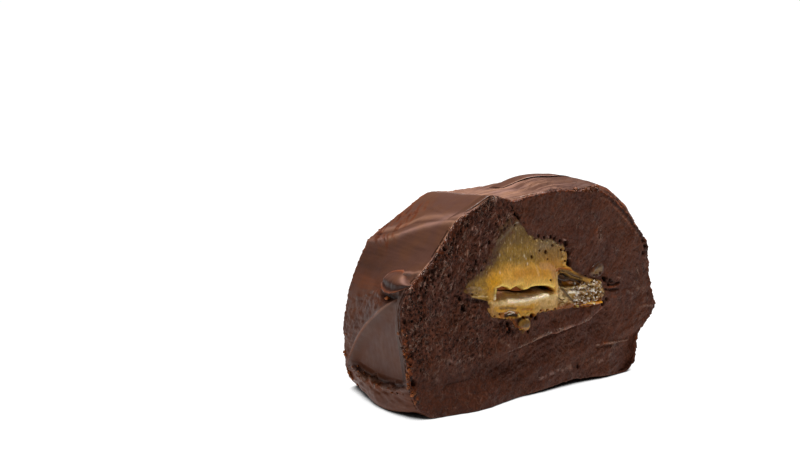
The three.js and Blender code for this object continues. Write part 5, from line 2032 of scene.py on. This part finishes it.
@dataclass
class Salt:
    """Sea salt crystals, half sunk in the wet right end of the caramel."""

    front: Surface
    finish: SaltFinish = SaltFinish()

    def build(self) -> bpy.types.Object:
        """Strew the crystals.

        Returns:
            The crystals.
        """
        grains = Strewn(seed=17, shape=GrainShape.CUBE)
        x, z = self.front.points[..., 0], self.front.points[..., 2]
        patch = smooth(x, 12.2, 14.0) * smooth(self.front.to_rim, 0.2, 0.8)
        patch = patch * fall(z - 0.12 * (x - 14), 26.0, 27.4) * smooth(z, 21.2, 22.0)
        share = np.linspace(0, 1, 12)
        syrup = coats(self.finish.dark, ((self.finish.syrup, share),))
        clear = coats(self.finish.syrup, ((self.finish.clear, np.sqrt(share)),))
        grains.strew(self.front, patch, 80, (0.2, 0.6), syrup, 0.6)
        grains.strew(self.front, patch, 170, (0.12, 0.42), clear, 0.3)
        piece = grains.build("salt_crystals", jitter=0.12, flat=True)
        return piece


@dataclass
class Studio:
    """A white table and backdrop, broad soft lamps, and the camera of the photograph."""

    camera_mm: tuple = (-244.19, -309.07, 124.99)
    yaw_deg: float = 34.5
    pitch_deg: float = 12.0
    lens_mm: float = 70.2
    sensor_mm: float = 36.0
    table_half: float = 6.0
    table_grey: str = "#505050"
    contact_mm: float = 4.5
    seen_white: float = 1.05
    even_light: float = 0.06

    def camera(self) -> None:
        """Place the camera, level from side to side."""
        data = bpy.data.cameras.new("camera")
        data.lens, data.sensor_width, data.sensor_fit = self.lens_mm, self.sensor_mm, "HORIZONTAL"
        data.clip_start, data.clip_end = 0.01, 50.0
        camera = bpy.data.objects.new("camera", data)
        camera.location = [v * MM for v in self.camera_mm]
        camera.rotation_euler = (math.radians(90 - self.pitch_deg), 0, math.radians(-self.yaw_deg))
        bpy.context.scene.collection.objects.link(camera)
        bpy.context.scene.camera = camera

    def floor(self) -> None:
        """Lay a plain white table top that glows, all but close round the slice's foot, where the glow fades
        with ambient occlusion as a painted contact shadow.
        """
        mesh = bpy.data.meshes.new("table_top")
        half = self.table_half
        corners = [(-half, -half, 0), (half, -half, 0), (half, half, 0), (-half, half, 0)]
        mesh.from_pydata(corners, [], [(0, 1, 2, 3)])
        table = bpy.data.objects.new("table_top", mesh)
        bpy.context.scene.collection.objects.link(table)
        mix = Recipe("white_table")
        open_sky = add_node(mix.tree, "ShaderNodeAmbientOcclusion", {"Distance": self.contact_mm * MM},
                            samples=16)
        glow = mix.between(open_sky.outputs["AO"], 0.25, 0.6)
        table.data.materials.append(mix.finish(
            Base_Color=tuple(linear(self.table_grey)), Roughness=0.7, Specular_IOR_Level=0.1,
            Emission_Color=(1, 1, 1, 1), Emission_Strength=glow))

    def lamp(self, name: str, place: tuple, size: tuple, watts: float) -> None:
        """Hang a soft rectangular lamp that faces the slice.

        Args:
            name: The lamp's name.
            place: Its centre in metres.
            size: Its width and height in metres.
            watts: Its power.
        """
        data = bpy.data.lights.new(name, "AREA")
        data.shape, data.size, data.size_y, data.energy = "RECTANGLE", size[0], size[1], watts
        lamp = bpy.data.objects.new(name, data)
        lamp.location = place
        away = np.array([0.0, 0.0, 0.025]) - np.array(place)
        level = math.hypot(away[0], away[1])
        lamp.rotation_euler = (math.atan2(level, -away[2]), 0, math.atan2(-away[0], away[1]))
        lamp.visible_camera = False
        bpy.context.scene.collection.objects.link(lamp)

    def world(self) -> None:
        """Fill the room with even light, and show it white."""
        world = bpy.data.worlds.new("white_room")
        world.use_nodes = True
        world.node_tree.nodes.clear()
        tree = world.node_tree
        path = add_node(tree, "ShaderNodeLightPath")
        seen, lit = (
            add_node(tree, "ShaderNodeBackground", {"Color": (1, 1, 1, 1), "Strength": strength})
            for strength in (self.seen_white, self.even_light))
        both = add_node(tree, "ShaderNodeMixShader", {0: path.outputs["Is Camera Ray"],
                                                      1: lit.outputs[0], 2: seen.outputs[0]})
        add_node(tree, "ShaderNodeOutputWorld", {0: both.outputs[0]})
        bpy.context.scene.world = world

    def build(self) -> None:
        """Set up the whole studio."""
        self.camera()
        self.floor()
        self.lamp("overhead", place=(0.2, 0.1, 0.9), size=(0.5, 0.5), watts=26.0)
        self.lamp("left", place=(-0.8, 0.1, 0.4), size=(0.5, 0.5), watts=2.0)
        self.world()
        view = bpy.context.scene.view_settings
        view.view_transform = "Standard"
        view.look = "None"


def dress(pieces: list, material: bpy.types.Material) -> None:
    """Give each piece its material and report it."""
    for piece in pieces:
        piece.data.materials.append(material)
        LOG.info("%s: %d faces of %s", piece.name, len(piece.data.polygons), material.name)


def main() -> None:
    """Build the studio and each piece of the slice, and report each one."""
    logging.basicConfig(level=logging.INFO, format="%(message)s")
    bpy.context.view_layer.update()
    Studio().build()
    cut, cut_surface = FrontCut().build()
    body, body_surface = Skin().build()
    leaves = Leaves()
    dress([cut, body, leaves.build_curl(), leaves.build_flap()], FudgeFinish().material())
    caramel = Caramel()
    core, core_surface = caramel.build()
    dress([core, caramel.build_streak()], CaramelFinish().material())
    dress([Crumbs(cut_surface, body_surface).build()], CrumbFinish().material())
    dress([Salt(core_surface).build()], SaltFinish().material())


if __name__ == "__main__":
    main()
